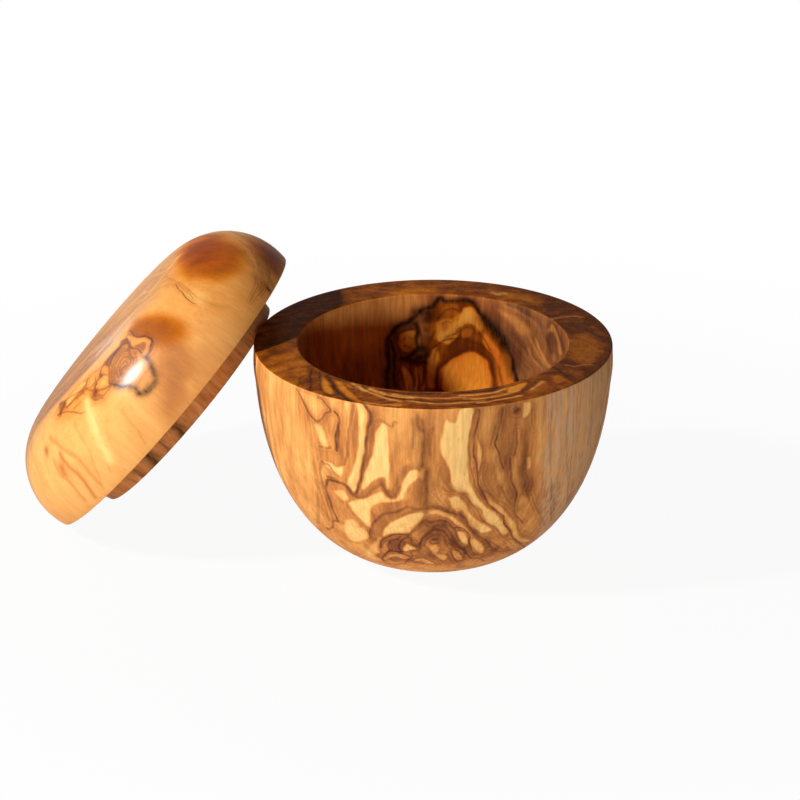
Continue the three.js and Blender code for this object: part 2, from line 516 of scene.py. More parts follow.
FRONT_PATCHES = [
    (0.52, 3, [(-3, 75), (34, 74.5), (33, 55), (34.5, 40.5), (37.5, 22), (31.5, 13.5), (19, 13.5),
        (-3.5, 13)]),
    (0.64, 2, [(20, 74.5), (32.5, 73.5), (32.5, 55.5), (34, 40.5), (36, 27.5), (29.5, 27.5),
        (26.5, 35.5), (24, 43.5), (22.5, 52.5), (20.5, 60), (21, 67.5)]),
    (0.32, 1, [(-64, 90), (-45.5, 80), (-44, 69.5), (-42, 64), (-40, 56), (-39, 48), (-38, 38.5),
        (-37.5, 28.5), (-37.5, 18), (-64, 10)]),
    (0.4, 1.5, [(-44.5, 73.5), (-25.5, 74.5), (-24, 66), (-25, 55.5), (-27.5, 47.5), (-33, 50.5),
        (-36.5, 49), (-39.5, 54.5), (-41.5, 64)]),
    (0.42, 1.5, [(-36.5, 49), (-26, 40.5), (-19, 37.5), (-20, 28), (-20.5, 22), (-16.5, 10), (-33.5, 16),
        (-37.5, 22)]),
    (0.44, 1.5, [(-13.5, 70), (-8.5, 71), (-8, 64.5), (-8, 57.5), (-10, 52.5), (-11.5, 46.5),
        (-14, 45.5), (-14, 59)]),
    (0.5, 2, [(-8, 74.5), (5.5, 74.5), (5.5, 39), (-2.5, 39), (-4.5, 50.5), (-8, 55), (-7.5, 64.5)]),
    (0.3, 0.6, [(-43.5, 73.5), (-37.5, 73.5), (-34.5, 71.5), (-34.5, 69.5), (-36.5, 66), (-38.5, 67),
        (-41.5, 71)]),
    (0.05, 0.7, [(-38, 63.5), (-36.5, 64.5), (-35, 62.5), (-33.5, 58.5), (-34, 56.5), (-35.5, 56.5),
        (-37, 59.5)]),
    (0.62, 0.8, [(-37, 55), (-35.5, 55), (-33.5, 55.5), (-31.5, 56), (-29, 58), (-27.5, 56.5),
        (-28.5, 52.5), (-30, 50.5), (-32, 50.5), (-33.5, 51.5), (-35.5, 52), (-37, 51)]),
    (0.04, 0.5, [(-35, 50.5), (-33, 51), (-31, 50), (-29, 51), (-29, 48), (-30.5, 47), (-32.5, 48),
        (-34.5, 49.5)]),
    (0.46, 0.7, [(-33.5, 69), (-31.5, 70.5), (-30.5, 69), (-30.5, 64.5), (-31, 58.5), (-33, 57),
        (-33.5, 58.5), (-34.5, 62)]),
    (0.06, 0.4, [(-28.5, 74.5), (-26, 74.5), (-26.5, 70), (-26.5, 66.5), (-27.5, 65.5), (-27.5, 69.5)]),
    (0.62, 0.7, [(-26.5, 74.5), (-24.5, 74.5), (-24, 69), (-24, 62.5), (-24.5, 56.5), (-26, 51.5),
        (-27.5, 47.5), (-28.5, 45.5), (-28, 51), (-27, 56), (-26.5, 62), (-27, 68)]),
    (0.55, 0.7, [(-30, 73.5), (-28.5, 74), (-27.5, 69.5), (-27, 64.5), (-27.5, 58.5), (-28.5, 54.5),
        (-29.5, 58), (-29.5, 65), (-30, 69)]),
    (0, 0.5, [(-24.5, 75), (-22, 74.5), (-21, 73), (-21, 69.5), (-21, 66), (-21.5, 61.5), (-22, 57),
        (-23, 52), (-23.5, 48), (-24.5, 44), (-25.5, 42), (-27, 43), (-28, 44), (-27, 47), (-25.5, 51),
        (-24.5, 55.5), (-24, 59.5), (-23.5, 64), (-23.5, 68.5), (-24, 72)]),
    (0.66, 0.7, [(-20.5, 73.5), (-19, 72), (-19, 67), (-19.5, 61.5), (-20, 57.5), (-21, 53),
        (-22.5, 48.5), (-24, 44.5), (-23.5, 48.5), (-22.5, 53), (-21.5, 58.5), (-20.5, 64.5),
        (-20, 69.5)]),
    (0, 0.45, [(-16, 69.5), (-15, 69), (-14.5, 65), (-14, 60.5), (-14, 55.5), (-14, 50), (-14, 45.5),
        (-14.5, 45), (-15, 48), (-16, 49.5), (-18.5, 48), (-20.5, 46), (-22.5, 43.5), (-23, 44.5),
        (-22, 49), (-20.5, 54), (-19.5, 57.5), (-18.5, 62), (-18, 66), (-16.5, 69)]),
    (0.74, 0.6, [(-25, 41), (-22.5, 42.5), (-18.5, 46.5), (-16, 48.5), (-15.5, 47), (-14.5, 45),
        (-13, 45), (-12, 48), (-11, 51), (-9.5, 54), (-7.5, 55), (-7, 53), (-9, 50.5), (-10, 47.5),
        (-11, 44.5), (-12.5, 42.5), (-14.5, 42.5), (-16, 46), (-17, 46.5), (-19, 44.5), (-21, 41.5),
        (-23, 40), (-24.5, 40)]),
    (0.02, 0.5, [(-27.5, 37), (-24.5, 39), (-22, 40), (-19.5, 42), (-16.5, 44), (-15, 42), (-12.5, 41.5),
        (-10.5, 44), (-9.5, 48), (-8, 51.5), (-6.5, 53), (-4.5, 53), (-4, 51), (-7, 48), (-9, 44.5),
        (-10, 41.5), (-14, 40), (-17, 39), (-19, 37.5), (-20, 34.5), (-20, 29), (-20.5, 27.5),
        (-22.5, 29.5), (-25, 32.5), (-26.5, 35)]),
    (0.06, 0.8, [(-28.5, 29), (-26, 30), (-24, 27.5), (-21.5, 25.5), (-20.5, 23.5), (-22.5, 21),
        (-25.5, 19), (-28, 20), (-29, 24.5)]),
    (0.6, 0.6, [(-19, 37.5), (-17, 39), (-12, 40), (-8.5, 41), (-7.5, 43), (-7, 46), (-6, 47.5),
        (-3, 48), (-3, 41.5), (-5.5, 38.5), (-8, 38.5), (-12, 36.5), (-15.5, 34.5), (-18, 31.5),
        (-19.5, 29), (-20, 33.5)]),
    (0.6, 0.6, [(-20.5, 22), (-20.5, 26.5), (-19.5, 29.5), (-18, 32), (-16, 34.5), (-14, 35.5),
        (-11, 36.5), (-9, 37.5), (-5, 37.5), (-8, 35.5), (-12, 34), (-14.5, 31), (-16.5, 27.5),
        (-17, 24), (-19, 15.5)]),
    (0, 0.5, [(-16.5, 24.5), (-16, 27.5), (-14, 31), (-11, 33.5), (-8, 35.5), (-5, 36.5), (-3, 36.5),
        (-3.5, 34), (-5.5, 31), (-7, 28), (-10, 27), (-13.5, 26.5)]),
    (0.12, 0.7, [(-32.5, 40.5), (-29, 41.5), (-27.5, 39), (-28.5, 37.5), (-31, 38.5)]),
    (0.18, 1, [(-19, 21), (-17, 23.5), (-17, 15), (-16.5, 10), (-21, 10.5), (-22.5, 14)]),
    (0.72, 0.8, [(-17, 22), (-14, 25), (-10.5, 26.5), (-7, 27.5), (-5, 30.5), (-3, 33), (-0.5, 34.5),
        (5.5, 34), (12, 28), (21.5, 14.5), (-16, 12), (-17, 17.5)]),
    (0.35, 0.6, [(-7, 29), (-5, 30.5), (-3, 32), (-2.5, 29), (-4, 26), (-5.5, 26.5)]),
    (0.2, 0.7, [(-4.5, 51.5), (-3, 54.5), (-2.5, 51), (-3.5, 49.5)]),
    (0, 0.5, [(4.5, 71.5), (5, 70.5), (7, 70), (8, 72.5), (9, 74.5), (12.5, 74.5), (12.5, 70.5),
        (12, 66.5), (11, 62.5), (11, 58.5), (11, 55), (11.5, 50.5), (12.5, 46), (14, 42.5), (16, 39.5),
        (18, 37), (20.5, 34.5), (22, 32), (23.5, 28.5), (24.5, 24.5), (23, 24), (20.5, 28.5), (18, 30.5),
        (16.5, 33.5), (16, 36.5), (14, 38.5), (12, 41), (11, 44), (8.5, 44.5), (7, 46), (6, 48.5),
        (5.5, 52.5), (4.5, 55.5), (3, 59), (2.5, 62), (3, 66), (3.5, 69.5)]),
    (0.08, 0.5, [(5, 42.5), (8, 43), (9.5, 41), (11, 38.5), (12.5, 35), (14.5, 32.5), (16.5, 30.5),
        (18.5, 28.5), (19, 27), (16.5, 26.5), (14.5, 28), (12, 30.5), (11, 34), (9.5, 37), (7.5, 37),
        (6, 39.5)]),
    (0.15, 0.5, [(-1, 37.5), (2, 37.5), (5.5, 36), (8, 33.5), (10.5, 30.5), (13, 26), (15, 22.5),
        (16.5, 20.5), (16.5, 16.5), (15, 17), (13, 20.5), (12, 24), (10.5, 27.5), (8, 31), (5.5, 34),
        (2, 36), (-1, 36)]),
    (0.14, 0.5, [(17, 43.5), (19.5, 39.5), (22.5, 36), (24.5, 32.5), (26.5, 28.5), (28, 22.5),
        (29.5, 19.5), (32.5, 15), (29.5, 16.5), (27, 20.5), (25.5, 26), (24, 30), (22.5, 33), (20.5, 36),
        (18, 39)]),
    (0.25, 0.5, [(24, 21), (26.5, 19), (28, 14), (25.5, 15.5)]),
    (0.08, 0.3, [(14, 65), (14.5, 63), (15.5, 58.5), (15, 52.5), (14.5, 53), (14, 59)]),
    (0.36, 1.2, [(15.5, 74), (20, 74), (19.5, 70), (18.5, 64), (16.5, 62), (14.5, 65), (15, 70.5)]),
    (0.44, 1, [(18.5, 57.5), (20, 60), (21, 56), (22.5, 51.5), (24, 43.5), (22.5, 44), (20, 51)]),
    (0.42, 0.8, [(25, 55.5), (27, 55), (27.5, 48.5), (28.5, 41.5), (27.5, 40.5), (26, 47)]),
    (0.42, 0.8, [(27, 66.5), (28, 65.5), (28.5, 58), (28, 52), (27, 56), (27, 62)]),
    (0.12, 0.4, [(29, 74), (31, 73.5), (31, 71), (29.5, 69), (28.5, 70)]),
    (0.3, 0.4, [(30, 54), (31.5, 54), (31.5, 50), (30.5, 49.5)]),
    (0.85, 0.8, [(28, 65.5), (29.5, 64), (30, 60.5), (30, 55), (30.5, 48.5), (32, 43.5), (31, 38.5),
        (29.5, 40.5), (28.5, 47.5), (29, 54.5)]),
    (0.42, 1.2, [(27.5, 39.5), (30.5, 37.5), (33, 32.5), (35, 25.5), (33.5, 19.5), (29.5, 23.5),
        (27.5, 31.5)]),
    (0.3, 1.6, [(34, 76), (62, 78), (62, 40), (51.5, 37.5), (44, 30), (37.5, 34.5), (35.5, 45.5),
        (34, 59.5)]),
    (0.8, 0.5, [(-17, 19.5), (-17, 22), (-15, 24.5), (-12, 27), (-8, 27), (-7, 25.5), (-6, 24), (-7, 23),
        (-8, 22.5), (-9.5, 21), (-10, 18.5), (-12.5, 18.5), (-14, 18), (-16, 15.5), (-16.5, 16.5)]),
    (0.6, 0.4, [(-16.5, 20), (-15.5, 22), (-14.5, 22.5), (-14, 20), (-14.5, 18), (-16, 16),
        (-16.5, 17.5)]),
    (0.12, 0.35, [(-9.5, 20.5), (-8.5, 22.5), (-8, 22.5), (-7, 21.5), (-5.5, 20.5), (-5.5, 19.5),
        (-7, 19.5), (-8.5, 18.5), (-9.5, 19)]),
    (0.52, 0.5, [(-7, 27.5), (-5, 29.5), (-3.5, 31.5), (-2, 30.5), (-2, 29), (-3.5, 26.5), (-4, 24),
        (-5, 22.5), (-6, 24), (-7, 26)]),
    (0.9, 0.5, [(3, 32.5), (5, 31), (6.5, 27.5), (7, 24.5), (9, 21.5), (10.5, 19), (9, 20), (6, 22.5),
        (4.5, 25), (3.5, 28), (1.5, 29), (-0.5, 29), (0, 31), (1.5, 32.5)]),
    (0.6, 0.5, [(-3, 22.5), (-2, 25), (0, 26.5), (1.5, 27), (3, 26.5), (3.5, 24.5), (4.5, 22.5),
        (5.5, 21.5), (4.5, 17.5), (2.5, 16), (0.5, 17.5), (-0.5, 19.5), (-1.5, 21.5)]),
    (0.3, 0.5, [(-1, 21.5), (1, 22.5), (2, 20), (1.5, 18), (3.5, 17.5), (5, 16), (3.5, 14), (1.5, 16.5),
        (0, 19)]),
    (0.4, 0.4, [(6, 20), (7.5, 19), (9.5, 15.5), (9.5, 13.5), (8, 14), (7, 16.5)]),
    (0.08, 0.35, [(8, 28), (9.5, 28), (11, 26), (11.5, 23), (11, 21.5), (9.5, 23), (8.5, 25.5)]),
    (0.2, 0.4, [(12.5, 24.5), (14.5, 23), (16.5, 19.5), (16.5, 17.5), (14.5, 18.5), (13, 21)]),
    (0.38, 0.4, [(-14.5, 16.5), (-12, 17.5), (-9.5, 16.5), (-8, 15), (-9.5, 14), (-11.5, 15),
        (-13.5, 14.5), (-16, 11.5), (-16, 14)]),
    (0.4, 0.4, [(-7, 13.5), (-4.5, 15), (-2, 14.5), (0.5, 12), (-2, 12), (-4.5, 13)]),
    (0.6, 1.2, [(37.5, 41), (42, 39), (42, 33), (41.5, 26), (38.5, 27), (36.5, 36)]),
]

FRONT_VEINS = [
    (0.3, 1.4, [(-26.5, 33.5), (-24, 29.5), (-20.5, 26)]),
    (0.62, 0.9, [(-44, 74), (-43, 72.5), (-41.5, 70), (-40, 67.5), (-38.5, 66), (-37, 65), (-35.5, 67),
        (-34.5, 69), (-33, 70), (-33, 71), (-34, 72), (-35.5, 73.5), (-37, 73.5)]),
    (0.25, 0.9, [(-40, 67.5), (-39.5, 61.5), (-39, 55), (-38, 48.5), (-37.5, 41.5), (-36.5, 36.5),
        (-35, 31.5), (-34, 26.5)]),
    (0.85, 0.9, [(-31.5, 70.5), (-30.5, 69.5), (-30, 67.5), (-30.5, 64.5), (-31, 61.5), (-31, 58),
        (-31, 56.5)]),
    (0.55, 0.7, [(-30, 64), (-30.5, 61), (-30.5, 58.5), (-31, 57)]),
    (0.62, 0.8, [(-37, 56), (-36.5, 56), (-35.5, 56.5), (-34.5, 56.5), (-33, 57), (-33, 57.5)]),
    (0.62, 0.7, [(-36.5, 49), (-36, 50.5), (-35, 50), (-33.5, 50), (-32, 48), (-30.5, 47)]),
    (0.45, 0.7, [(-25.5, 74), (-26, 70), (-26.5, 66.5), (-27, 62), (-27.5, 56.5), (-28.5, 52)]),
    (0.85, 1.1, [(-22, 74.5), (-21, 73.5), (-20, 72), (-20, 69.5), (-20.5, 67), (-21, 64), (-21.5, 60.5),
        (-22, 56), (-22.5, 52), (-23, 48.5), (-24, 45), (-25, 41.5), (-26, 41), (-27, 42.5), (-28.5, 44),
        (-30, 44.5), (-32.5, 44.5), (-34, 44), (-34.5, 42.5)]),
    (0.6, 0.8, [(-34, 45.5), (-32.5, 45.5), (-31, 45), (-29.5, 44.5), (-27.5, 42.5), (-26, 40.5),
        (-24, 40)]),
    (0.45, 0.7, [(-18, 69.5), (-17, 70.5), (-16, 70), (-14.5, 69), (-13, 68.5), (-12.5, 70),
        (-11.5, 70)]),
    (0.45, 0.7, [(-24.5, 40), (-23, 40), (-21, 41.5), (-19, 44.5), (-16.5, 46.5), (-16, 47),
        (-15.5, 45.5), (-15, 43.5), (-14, 42.5), (-12.5, 42.5), (-11.5, 44), (-10.5, 46.5)]),
    (0.65, 0.9, [(-20.5, 23), (-20.5, 26.5), (-19.5, 29.5), (-18, 32), (-16, 34.5), (-14, 35.5),
        (-11.5, 36.5), (-9.5, 38), (-8, 39), (-6, 38), (-3, 38), (-0.5, 38.5), (2.5, 38), (5.5, 36.5)]),
    (0.8, 0.9, [(-34.5, 42.5), (-35, 40), (-34, 36.5), (-33, 33.5), (-32, 30), (-31, 27.5)]),
    (0.55, 0.7, [(-36, 49.5), (-36.5, 46), (-36, 41.5), (-35, 37), (-34, 33), (-33, 29), (-32.5, 26.5)]),
    (0.75, 0.8, [(-31, 27), (-32, 27), (-33, 25.5), (-33, 23.5), (-34.5, 20.5), (-35, 21)]),
    (0.35, 1, [(-38, 42.5), (-37.5, 35.5), (-38, 27), (-38, 21)]),
    (0.55, 1.4, [(-5, 72.5), (-4.5, 69), (-3.5, 67.5)]),
    (0.55, 1.2, [(-3.5, 71), (-3, 68.5), (-2.5, 65), (-3, 61.5), (-3.5, 58), (-3.5, 54.5)]),
    (0.35, 2, [(-6.5, 71), (-6, 66), (-6.5, 61)]),
    (0.45, 1.5, [(0, 68.5), (-1, 64), (-1, 59)]),
    (0.5, 1.4, [(-2, 52.5), (-2, 48), (-2, 43.5), (-2.5, 39.5)]),
    (0.3, 1.4, [(2.5, 54.5), (2, 50), (2.5, 45)]),
    (0.4, 1.1, [(1.5, 47.5), (3.5, 46.5), (5, 45), (7, 45), (8.5, 44), (11, 42), (12.5, 39.5),
        (14, 37.5), (15, 35.5), (16, 32.5), (18, 30.5), (20.5, 28), (22.5, 23.5), (24.5, 20.5),
        (27.5, 14.5)]),
    (0.42, 1.6, [(4, 49), (6, 46), (8.5, 45), (10.5, 43.5)]),
    (0.65, 1.7, [(-1, 39), (1.5, 39), (4, 38), (7, 36), (9, 35.5), (10.5, 33.5), (11.5, 30.5),
        (13.5, 27), (15.5, 24.5), (18, 22), (19, 19), (21, 16.5)]),
    (0.3, 0.8, [(0.5, 44.5), (2.5, 41.5), (4, 39)]),
    (0.3, 0.9, [(8, 37), (10.5, 34.5), (11.5, 32)]),
    (0.45, 0.8, [(13.5, 74.5), (12.5, 70.5), (12, 66.5), (11.5, 62), (11.5, 58.5), (12, 54), (13, 50),
        (13.5, 46.5), (15, 43.5), (16.5, 40.5)]),
    (0.75, 0.8, [(14.5, 74), (14.5, 70.5), (13.5, 66.5), (13, 62), (13, 58), (14, 54.5), (14.5, 51),
        (14.5, 47.5), (15.5, 44.5), (16.5, 42), (17.5, 39.5), (19, 37.5), (21, 35), (23, 32.5),
        (23.5, 29), (25, 25.5), (26.5, 21), (29, 16), (31, 10)]),
    (0.7, 0.8, [(22.5, 74), (22, 71.5), (21, 67.5), (20.5, 64), (20, 61.5), (21, 58.5), (21.5, 55.5),
        (22.5, 52)]),
    (0.35, 1.6, [(21.5, 74), (20.5, 70), (19.5, 66), (18.5, 61)]),
    (0.62, 0.6, [(24.5, 55.5), (25, 51), (25.5, 46.5), (26.5, 43), (27, 40), (26.5, 37.5), (26.5, 35),
        (27.5, 31), (29.5, 27)]),
    (0.55, 0.7, [(27, 64.5), (27, 61), (26.5, 57.5), (26, 56)]),
    (0.85, 2, [(26, 71.5), (27, 72)]),
    (0.55, 0.7, [(25.5, 72.5), (26, 73), (27.5, 72.5), (27.5, 71.5), (27, 70.5), (25.5, 71)]),
    (0.3, 1.6, [(16, 45), (18, 43), (20, 40.5), (22.5, 38.5), (25, 35.5), (27, 31.5), (27.5, 28),
        (28.5, 23), (31.5, 19)]),
    (0.3, 0.9, [(32, 39.5), (34, 32), (36, 25.5), (37.5, 20.5)]),
    (0.35, 1.4, [(30, 48.5), (31, 44), (30, 40.5)]),
    (0.35, 1.2, [(22, 45), (24, 39.5), (26.5, 35)]),
    (0.28, 1, [(16.5, 54), (16, 49.5), (17.5, 45), (19.5, 41.5)]),
    (0.4, 1.2, [(32, 72), (31.5, 69), (32.5, 63.5)]),
    (0.5, 0.8, [(-1, 33), (2.5, 33), (5, 31.5), (7, 29.5), (8, 26), (9, 23.5), (11.5, 21), (12.5, 17.5)]),
    (0.8, 0.6, [(-16.5, 10.5), (-16.5, 13.5), (-15, 16), (-14, 18), (-12.5, 18), (-10, 18)]),
    (0.75, 0.6, [(-17, 19), (-17, 22), (-15, 24.5), (-12.5, 26.5), (-9.5, 27), (-8, 26.5), (-7, 28),
        (-6, 29), (-4.5, 30), (-3.5, 32), (-2.5, 33.5), (-0.5, 32.5), (1.5, 33.5), (3.5, 33.5),
        (5.5, 32), (6.5, 30), (7.5, 30), (9.5, 29.5), (11, 27.5), (12, 25.5), (12, 23), (12.5, 20),
        (13, 17.5), (15, 15.5)]),
    (0.75, 0.5, [(-10, 18), (-11, 20.5), (-10.5, 23.5), (-8.5, 25.5), (-7.5, 25.5), (-7, 24.5),
        (-6.5, 22.5), (-5.5, 21.5)]),
    (0.6, 0.5, [(-14, 18), (-14.5, 19.5), (-14.5, 21.5), (-13.5, 23.5), (-11.5, 24.5), (-10.5, 26)]),
    (0.9, 0.6, [(-4, 20), (-4, 22.5), (-3.5, 25), (-2, 27), (-0.5, 29), (1.5, 29.5), (3.5, 29),
        (4.5, 27.5), (5.5, 24.5), (7.5, 23), (9, 20.5), (10.5, 19), (11, 16.5)]),
    (0.7, 0.45, [(-2.5, 21.5), (-2.5, 23.5), (-1, 26), (0.5, 27), (2, 27), (3.5, 26), (4, 23.5),
        (5, 21.5)]),
    (1, 1.3, [(0, 25), (1, 25)]),
    (0.65, 0.45, [(-1, 25.5), (-0.5, 26), (1, 26.5), (2, 25.5), (2, 23.5), (1, 23), (-0.5, 23),
        (-1, 24.5)]),
    (0.6, 0.5, [(0.5, 31), (2, 31.5), (4, 31), (5.5, 28.5), (6, 26.5), (6.5, 24)]),
    (0.6, 0.5, [(6, 28), (7, 25), (8.5, 22.5), (10.5, 20)]),
    (0.5, 0.5, [(-16, 14), (-13.5, 16.5), (-10.5, 17), (-8, 16), (-5.5, 16.5), (-2.5, 17)]),
    (0.55, 0.5, [(-9.5, 11), (-8, 14), (-6.5, 16), (-7, 18), (-5.5, 19.5), (-4, 18)]),
    (0.5, 0.5, [(-7, 13.5), (-5, 15), (-2.5, 15), (0, 13), (1.5, 11)]),
    (0.4, 0.5, [(-15.5, 9), (-12, 10), (-9.5, 11), (-7, 10)]),
    (0.55, 0.5, [(6, 18.5), (7, 15.5), (8, 12.5), (9.5, 11.5), (12, 12)]),
    (0.7, 0.6, [(11, 16.5), (12.5, 14), (15, 13), (17, 10.5)]),
    (0.5, 0.5, [(5, 21), (6.5, 19.5), (8.5, 19), (9.5, 16.5)]),
    (0.45, 0.45, [(-5, 26.5), (-4, 28), (-2.5, 29.5)]),
    (0.45, 0.45, [(-6, 25), (-5, 24), (-4, 22)]),
    (0.35, 1, [(12.5, 16), (16, 15.5), (19, 17), (22.5, 14.5), (25, 14.5)]),
    (0.35, 0.9, [(19, 22), (21.5, 18.5), (24, 15), (27, 12)]),
]

FRONT_SMOKE = [
    (0.3, 3.4, [(-4, 70), (-3, 66), (-3.5, 61), (-3.5, 57), (-4, 54)]),
    (0.34, 3.4, [(-2.5, 53), (-2, 48), (-2.5, 43), (-2.5, 39.5)]),
    (0.2, 3, [(-2.5, 40), (-2.5, 34), (-2, 28)]),
    (0.22, 5, [(20, 66), (21, 58), (20, 50), (22, 42)]),
    (0.2, 4, [(27, 60), (28, 50), (27, 42), (29, 34)]),
    (0.6, 2, [(10.5, 20), (11, 17.5)]),
    (0.45, 2.2, [(8.5, 10), (10, 9)]),
    (0.25, 2, [(0, 17), (0.5, 15)]),
]

# Places across and up on the far wall of the hollow

INNER_BROWN_SIDE = [(-40, 76), (-6, 74), (-8, 67), (-14.5, 62.5), (-18, 57), (-24, 56), (-32, 62)]
ORANGE_EYE = [
    (1.5, 41), (2, 46), (4.5, 49.5), (8.5, 52.5), (14, 54), (18, 52.5), (20, 49.5), (21, 43),
    (11.5, 38),
]
GOLDEN_CREST = [
    (1.5, 57.5), (1.5, 63.5), (5, 65.5), (9, 65.5), (10.5, 70), (14.5, 70.5), (17, 67),
    (18, 63.5), (15.5, 62), (13, 64), (10, 62), (8, 58.5), (5, 56.5),
]
GOLDEN_DROP = [
    (-12.5, 57.5), (-11.5, 60.5), (-8, 61.5), (-5.5, 59.5), (-5, 55.5), (-8, 53.5), (-11, 54.5),
]
ORANGE_FLANK = [
    (18, 62), (20, 60), (23.5, 55), (26.5, 49), (28, 46), (23.5, 43.5), (22.5, 50), (20, 55),
    (17, 58.5),
]
GOLDEN_STEM = [(-3, 41), (-2.5, 47.5), (-1, 52.5), (1, 55), (2, 51), (1, 46), (0.5, 41)]
GOLDEN_SPLINTER = [(-11, 48), (-9.5, 44.5), (-8, 40.5), (-6.5, 40.5), (-8, 45.5), (-9.5, 48.5)]

HOLLOW_PATCHES = [
    (0.6, 7, [(-42, 76), (-8, 74), (-9, 67), (-16, 62.5), (-20, 56), (-26, 54), (-36, 60)]),
    (0.42, 4, INNER_BROWN_SIDE),
    (0.8, 2.5, [(-15.5, 60), (-11.5, 64), (-6, 67.5), (-0.5, 70.5), (1.5, 72.5), (0.5, 63.5),
        (-0.5, 54.5), (-0.5, 45), (-0.5, 39.5), (-15, 40.5), (-16.5, 46), (-15.5, 54.5)]),
    (0.2, 1, [(0, 58.5), (0.5, 63.5), (3, 65.5), (7, 66.5), (9.5, 68.5), (14.5, 69), (17, 67),
        (17.5, 65.5), (15.5, 64), (12.5, 64), (8.5, 62), (6, 60), (2.5, 58.5)]),
    (0.66, 1.2, [(2.5, 67.5), (3.5, 70.5), (7, 71.5), (9.5, 69.5), (8, 67.5), (5.5, 67.5)]),
    (0.72, 0.8, [(7.5, 61.5), (11, 63.5), (14.5, 63.5), (14.5, 61), (11, 61.5), (8, 59)]),
    (0.3, 1, [(15.5, 64), (18.5, 64.5), (21, 61), (24, 55.5), (26.5, 50.5), (27.5, 46), (22.5, 44),
        (21.5, 50.5), (19, 56), (17, 60)]),
    (0.95, 1.2, [(3, 53.5), (5, 57), (9, 59), (14.5, 59), (18.5, 56.5), (21, 52), (22, 47), (21, 43.5),
        (19.5, 43), (19.5, 48), (17.5, 53), (14.5, 55), (9.5, 54.5), (6, 51.5), (5, 48.5), (4, 45),
        (5, 40.5), (2.5, 40), (2, 47)]),
    (0.82, 3, [(18, 73), (35.5, 74.5), (44.5, 68.5), (40, 54), (30, 45.5), (26.5, 50.5), (23, 58),
        (18.5, 66)]),
    (0.38, 1.2, [(23, 71), (26, 70.5), (29, 70), (31, 69), (33, 67.5), (33.5, 66), (31, 64), (29, 65),
        (27.5, 67), (25, 69)]),
    (0.75, 1, [(26, 57), (27.5, 55), (29, 52.5), (32, 49), (29.5, 47.5), (28.5, 50.5), (27.5, 54)]),
    (0.42, 0.5, [(38, 69.5), (39.5, 71), (40, 72), (41, 73.5), (42, 72.5), (42.5, 70.5), (43, 68),
        (44, 65.5), (43, 64.5), (42.5, 66.5), (41.5, 69), (40.5, 70), (39.5, 69.5), (38.5, 67)]),
    (0.42, 0.6, [(35.5, 65), (36.5, 63.5), (38, 61), (39, 59), (40.5, 58), (39.5, 56.5), (38, 57.5),
        (37, 60), (36, 62.5)]),
    (0.95, 0.6, [(39, 68.5), (41, 70), (41.5, 67), (39.5, 65), (39, 66)]),
    (0.55, 0.6, [(41, 63), (41.5, 63.5), (42.5, 61.5), (41.5, 60), (41, 61)]),
    (0, 0.6, ORANGE_EYE),
    (0.03, 0.6, GOLDEN_CREST),
    (0.02, 0.7, GOLDEN_DROP),
    (0.08, 0.6, ORANGE_FLANK),
    (0.05, 0.5, GOLDEN_STEM),
    (0.02, 0.4, GOLDEN_SPLINTER),
    (0.3, 0.4, [(-5.5, 47.5), (-4.5, 43), (-4, 40), (-3, 40.5), (-3.5, 45), (-4, 48.5)]),
    (0.6, 0.5, [(10, 61), (11.5, 63.5), (14, 63), (13, 60), (10.5, 58.5)]),
    (0.5, 0.4, [(3, 64), (5, 65), (5.5, 62.5), (3.5, 61.5)]),
    (0.6, 0.8, [(-4.5, 63.5), (0, 64), (0, 59.5), (-4.5, 59.5)]),
]

HOLLOW_OIL = [
    (1.2, 2, [(-2, 60), (-0.5, 70.5), (4, 72), (14, 72), (18, 66), (25, 58), (28, 48), (26, 40),
        (-2, 40)]),
    (0.25, 4, INNER_BROWN_SIDE),
    (1.75, 0.8, ORANGE_EYE),
    (0.85, 1, GOLDEN_CREST),
    (0.9, 1, GOLDEN_DROP),
    (2, 0.8, ORANGE_FLANK),
    (0.9, 0.8, GOLDEN_STEM),
    (0.5, 0.6, GOLDEN_SPLINTER),
]

HOLLOW_STREAKS = [
    (0.62, 1, [(25, 73), (28.5, 72.5), (31.5, 72), (34.5, 71), (37, 69.5)]),
    (0.95, 1.4, [(26.5, 74), (30, 73.5), (33.5, 72.5), (36, 71), (38, 69)]),
    (0.6, 0.8, [(33, 65.5), (34, 63), (36, 60), (38, 57.5)]),
    (0.62, 0.8, [(33, 60), (34.5, 57), (37, 55.5)]),
    (0.15, 0.9, [(-10, 47.5), (-9.5, 44.5), (-9, 40.5)]),
    (0.35, 0.8, [(-6, 47.5), (-6, 43.5), (-6, 40.5)]),
]

